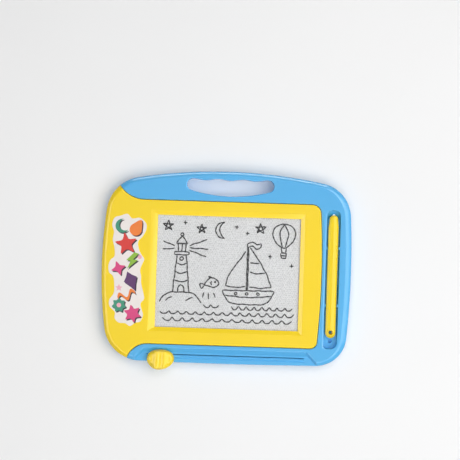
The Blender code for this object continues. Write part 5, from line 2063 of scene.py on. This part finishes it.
@dataclass
class Pen:
    """The drawing pen: a barrel with side chamfers, a low roof, an eye for a cord and a magnet tip."""

    x: float = 74.65 * MM
    bottom: float = -44.2 * MM
    top: float = 43.7 * MM
    half_width: float = 3.57 * MM
    tip_half: float = 3 * MM
    taper: float = 6 * MM
    base: float = 7.9 * MM
    side_foot: float = 9.2 * MM
    side_top: float = 12.6 * MM
    eave: float = 13.55 * MM
    ridge: float = 14.05 * MM
    chamfer: float = 1.2 * MM
    hole_radius: float = 1.5 * MM
    hole_y: float = -40.3 * MM
    collar: float = 1.1 * MM
    magnet_radius: float = 1.1 * MM
    magnet_length: float = 5 * MM
    magnet_reach: float = 0.8 * MM
    magnet_round: float = 0.4 * MM
    steps: int = 16

    def plan(self, inset: float) -> Points:
        """The pen seen from above, moved in by inset.

        Args:
            inset: How far it is moved in.

        Returns:
            The points.
        """
        low = Circle(self.x, self.bottom + self.half_width, self.half_width - inset)
        high = Circle(self.x, self.top - self.tip_half, self.tip_half - inset)
        shoulder = self.top - self.tip_half - self.taper
        right = resampled([low.point(0), Vector((self.x + self.half_width - inset, shoulder))], 12)[1:]
        right += resampled([right[-1], high.point(0)], 6)[1:-1]
        left = [Vector((2 * self.x - point.x, point.y)) for point in reversed(right)]
        return low.arc(math.pi, 0, self.steps) + right + high.arc(0, math.pi, self.steps) + left

    def roof(self, point: Vector) -> float:
        """Height of the roof over a point in plan."""
        share = min(abs(point.x - self.x) / (self.half_width - self.chamfer), 1)
        return self.ridge + (self.eave - self.ridge) * share

    def roofed(self, points: Points) -> Points:
        """Plane points placed on the roof."""
        return [Vector((*point, self.roof(point))) for point in points]

    def build_barrel(self) -> None:
        """Build the barrel with its eye."""
        skin, top = Skin(), self.ridge
        skin.loft([
            lifted(self.plan(self.chamfer), self.base), lifted(self.plan(0), self.side_foot),
            lifted(self.plan(0), self.side_top), self.roofed(self.plan(self.chamfer))])
        eye = Circle(self.x, self.hole_y, self.hole_radius)
        skin.loft([self.roofed(eye.grown(self.collar).around(40))] + [
            lifted(eye.grown(grow * MM).around(40), level) for grow, level in (
                (0.95, top + 0.08 * MM), (0.7, top + 0.23 * MM), (0.45, top + 0.23 * MM),
                (0.15, top + 0.05 * MM), (0, top - 0.3 * MM), (-0.4, self.base))])
        skin.cap(self.base)
        skin.merge()
        rim = [edge for edge in skin.mesh.edges if len(edge.link_faces) == 1]
        parts = {item for face in skin.fill(rim) for item in (face, *face.edges, *face.verts)}
        cut = bmesh.ops.bisect_plane(skin.mesh, geom=list(parts), dist=MERGE, plane_co=Vector((self.x, 0, 0)),
                                     plane_no=Vector((1, 0, 0)))["geom_cut"]
        for corner in fresh_corners(cut):
            if corner.co.z > self.eave - MERGE:
                corner.co.z = max(corner.co.z, self.roof(corner.co))
        skin.close()
        bmesh.ops.dissolve_limit(skin.mesh, angle_limit=math.radians(0.6), verts=skin.mesh.verts,
                                 edges=skin.mesh.edges)
        Piece("pen_body", YELLOW, "pen_barrel", body="pen", soft_edge=0.3 * MM,
              crease=math.radians(12)).make(skin)

    def build(self) -> None:
        """Build the pen: its barrel, and the magnet that shows at its tip."""
        self.build_barrel()
        skin = Skin()
        middle = (self.x, self.top + self.magnet_reach - self.magnet_length / 2, (self.base + self.ridge) / 2)
        turn = Matrix.Translation(middle) @ Matrix.Rotation(QUARTER, 4, "X")
        skin.add_rod(self.magnet_radius, self.magnet_length, turn, self.magnet_round, 40, 4)
        skin.close()
        Piece("pen_tip_magnet", TIP, "pen_magnet", body="pen").make(skin)


@dataclass
class CaseScrew:
    """A pan-head screw with a cross recess, driven from the back."""

    number: int
    head_radius: float = 2 * MM
    head_flat: float = 0.72
    head_low: float = 1.2 * MM
    head_top: float = 2.6 * MM
    head_curve: float = 0.8 * MM
    shaft_radius: float = 1 * MM
    point: float = 1.5 * MM
    tip: float = 9.8 * MM
    arm_length: float = 1.15 * MM
    arm_half: float = 0.27 * MM
    recess: float = 0.8 * MM

    def place(self) -> Vector:
        """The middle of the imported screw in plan."""
        low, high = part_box(f"case_screw_{self.number}")
        return ((low + high) / 2).to_2d()

    def cross(self, scale: float) -> Points:
        """The outline of the cross recess, starting on +X.

        Args:
            scale: Its size as a share.

        Returns:
            The points.
        """
        arm, half = self.arm_length * scale, self.arm_half * scale
        bend = (arm + half) / 2
        quarter = [Vector(corner) for corner in (
            (arm, 0), (arm, half), (bend, half), (half, half), (half, bend), (half, arm))]
        return [Matrix.Rotation(turn * QUARTER, 2) @ corner for turn in range(4) for corner in quarter]

    def build(self) -> None:
        """Build the screw."""
        centre, low, floor = self.place(), self.head_low, self.head_low + self.recess
        discs = [(self.head_radius * self.head_flat, low)]
        for share in shares(4)[1:]:
            angle = share * QUARTER
            discs.append((self.head_radius * (self.head_flat + (1 - self.head_flat) * math.sin(angle)),
                          low + self.head_curve * (1 - math.cos(angle))))
        discs += [(self.head_radius, self.head_top), (self.shaft_radius, self.head_top),
                  (self.shaft_radius, self.tip - self.point), (self.shaft_radius * 0.25, self.tip)]
        rings = [(self.cross(0.75), floor), (self.cross(1), low + 0.02 * MM)]
        rings += [(Circle(0, 0, radius).around(24), level) for radius, level in discs]
        skin = Skin()
        skin.loft([lifted([centre + point for point in points], level) for points, level in rings])
        skin.cap(floor)
        skin.cap(self.tip)
        skin.close()
        Piece(f"screw_{self.number}", STEEL, f"case_screw_{self.number}").make(skin)


# ---------------------------------------------------------------- studio

@dataclass
class Studio:
    """Pale floor, soft lights and the camera over the board."""

    turn: float = math.radians(1.85)
    look_x: float = 0.5 * MM
    look_y: float = 30.8 * MM
    field: float = 329 * MM
    distance: float = 1.3
    face: float = 14 * MM

    def floor(self) -> None:
        """Lay the floor under the board."""
        skin = Skin()
        bmesh.ops.create_grid(skin.mesh, x_segments=2, y_segments=2, size=3,
                              matrix=Matrix.Translation((0, 0, -0.05 * MM)))
        graph = Graph("pale_floor")
        graph.set(Base_Color=graph.blend(graph.noise(6, 2), (0.86, 0.86, 0.86), (0.9, 0.9, 0.9)),
                  Roughness=0.9)
        placed("studio_floor", skin.as_mesh("studio_floor", graph.material))

    def softbox(self, name: str, azimuth: float, elevation: float, size: tuple[float, float],
                radiance: float, sheen: bool = True) -> None:
        """Hang a soft box that faces the board.

        Args:
            name: Name of the lamp.
            azimuth: Degrees from +X, anticlockwise.
            elevation: Degrees over the floor.
            size: Its width and height.
            radiance: How bright its face is, where 1 is white.
            sheen: Whether it shows in glossy surfaces, or lights them evenly instead.
        """
        lamp = bpy.data.lights.new(name, "AREA")
        lamp.shape = "RECTANGLE"
        lamp.size, lamp.size_y = size
        lamp.energy = radiance * math.pi * size[0] * size[1]
        made = placed(name, lamp)
        turn, rise = math.radians(azimuth), math.radians(elevation)
        way = Vector((math.cos(turn) * math.cos(rise), math.sin(turn) * math.cos(rise), math.sin(rise)))
        made.location = way
        made.rotation_euler = way.to_track_quat("Z", "Y").to_euler()
        made.visible_camera = False
        made.visible_glossy, made.visible_diffuse = sheen, not sheen

    def lights(self) -> None:
        """Light the board evenly, with brighter boxes low round it for the rolled edges."""
        world = bpy.data.worlds.new("studio_air")
        world.use_nodes = True
        back = world.node_tree.nodes["Background"]
        back.inputs["Color"].default_value = (1, 1, 1, 1)
        back.inputs["Strength"].default_value = 0.2
        bpy.context.scene.world = world
        self.softbox("overhead", 345, 74, (1.3, 1.3), 2.4, False)
        for name, *setting in (
                ("east", 8, 36, (0.85, 0.85), 3.2), ("southeast", 318, 39, (0.5, 0.5), 4.0),
                ("south", 270, 30, (0.82, 0.4), 3.6), ("southwest", 225, 36, (0.5, 0.5), 4.0),
                ("west", 180, 34, (0.75, 0.66), 4.2), ("north", 90, 4, (0.9, 0.12), 16.0),
                ("north_high", 90, 45, (0.9, 0.2), 3.0), ("northeast", 47, 38, (0.55, 0.6), 4.2)):
            self.softbox(f"box_{name}", *setting)

    def camera(self) -> None:
        """Hang the camera straight over the board, its lens set so that the field spans the sensor's width.
        """
        lens = bpy.data.cameras.new("camera")
        lens.sensor_width = 36
        lens.lens = 36 * self.distance / self.field
        lens.clip_start, lens.clip_end = 0.01, 20
        made = placed("camera", lens)
        made.location = (self.look_x, self.look_y, self.face + self.distance)
        made.rotation_euler = (0, 0, self.turn)
        bpy.context.scene.camera = made

    def build(self) -> None:
        """Set the stage."""
        self.floor()
        self.lights()
        self.camera()
        bpy.context.scene.view_settings.view_transform = "Standard"


def dress_inner_parts() -> None:
    """Give the carried-over solids inside the board their finishes."""
    for name, finish in (("panel_front_film", FILM), ("panel_back_film", FILM), ("panel_edge_seal", SEAL),
                         ("eraser_carrier", INNER), ("eraser_magnet", MAGNET)):
        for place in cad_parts[name].material_slots:
            place.material = finish.material()
        log.info("%s: dressed as it is", name)


def main() -> None:
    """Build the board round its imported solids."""
    logging.basicConfig(level=logging.INFO, format="%(message)s")
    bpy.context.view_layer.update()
    screws = [CaseScrew(number) for number in range(1, 9)]
    for part in (BackCover([screw.place() for screw in screws]), FrontHousing(), FrontBezel(), CellGrid(),
                 Drawing(), Label(), EraserKnob(), Pen(), *screws):
        part.build()
    dress_inner_parts()
    Studio().build()


if __name__ == "__main__":
    main()
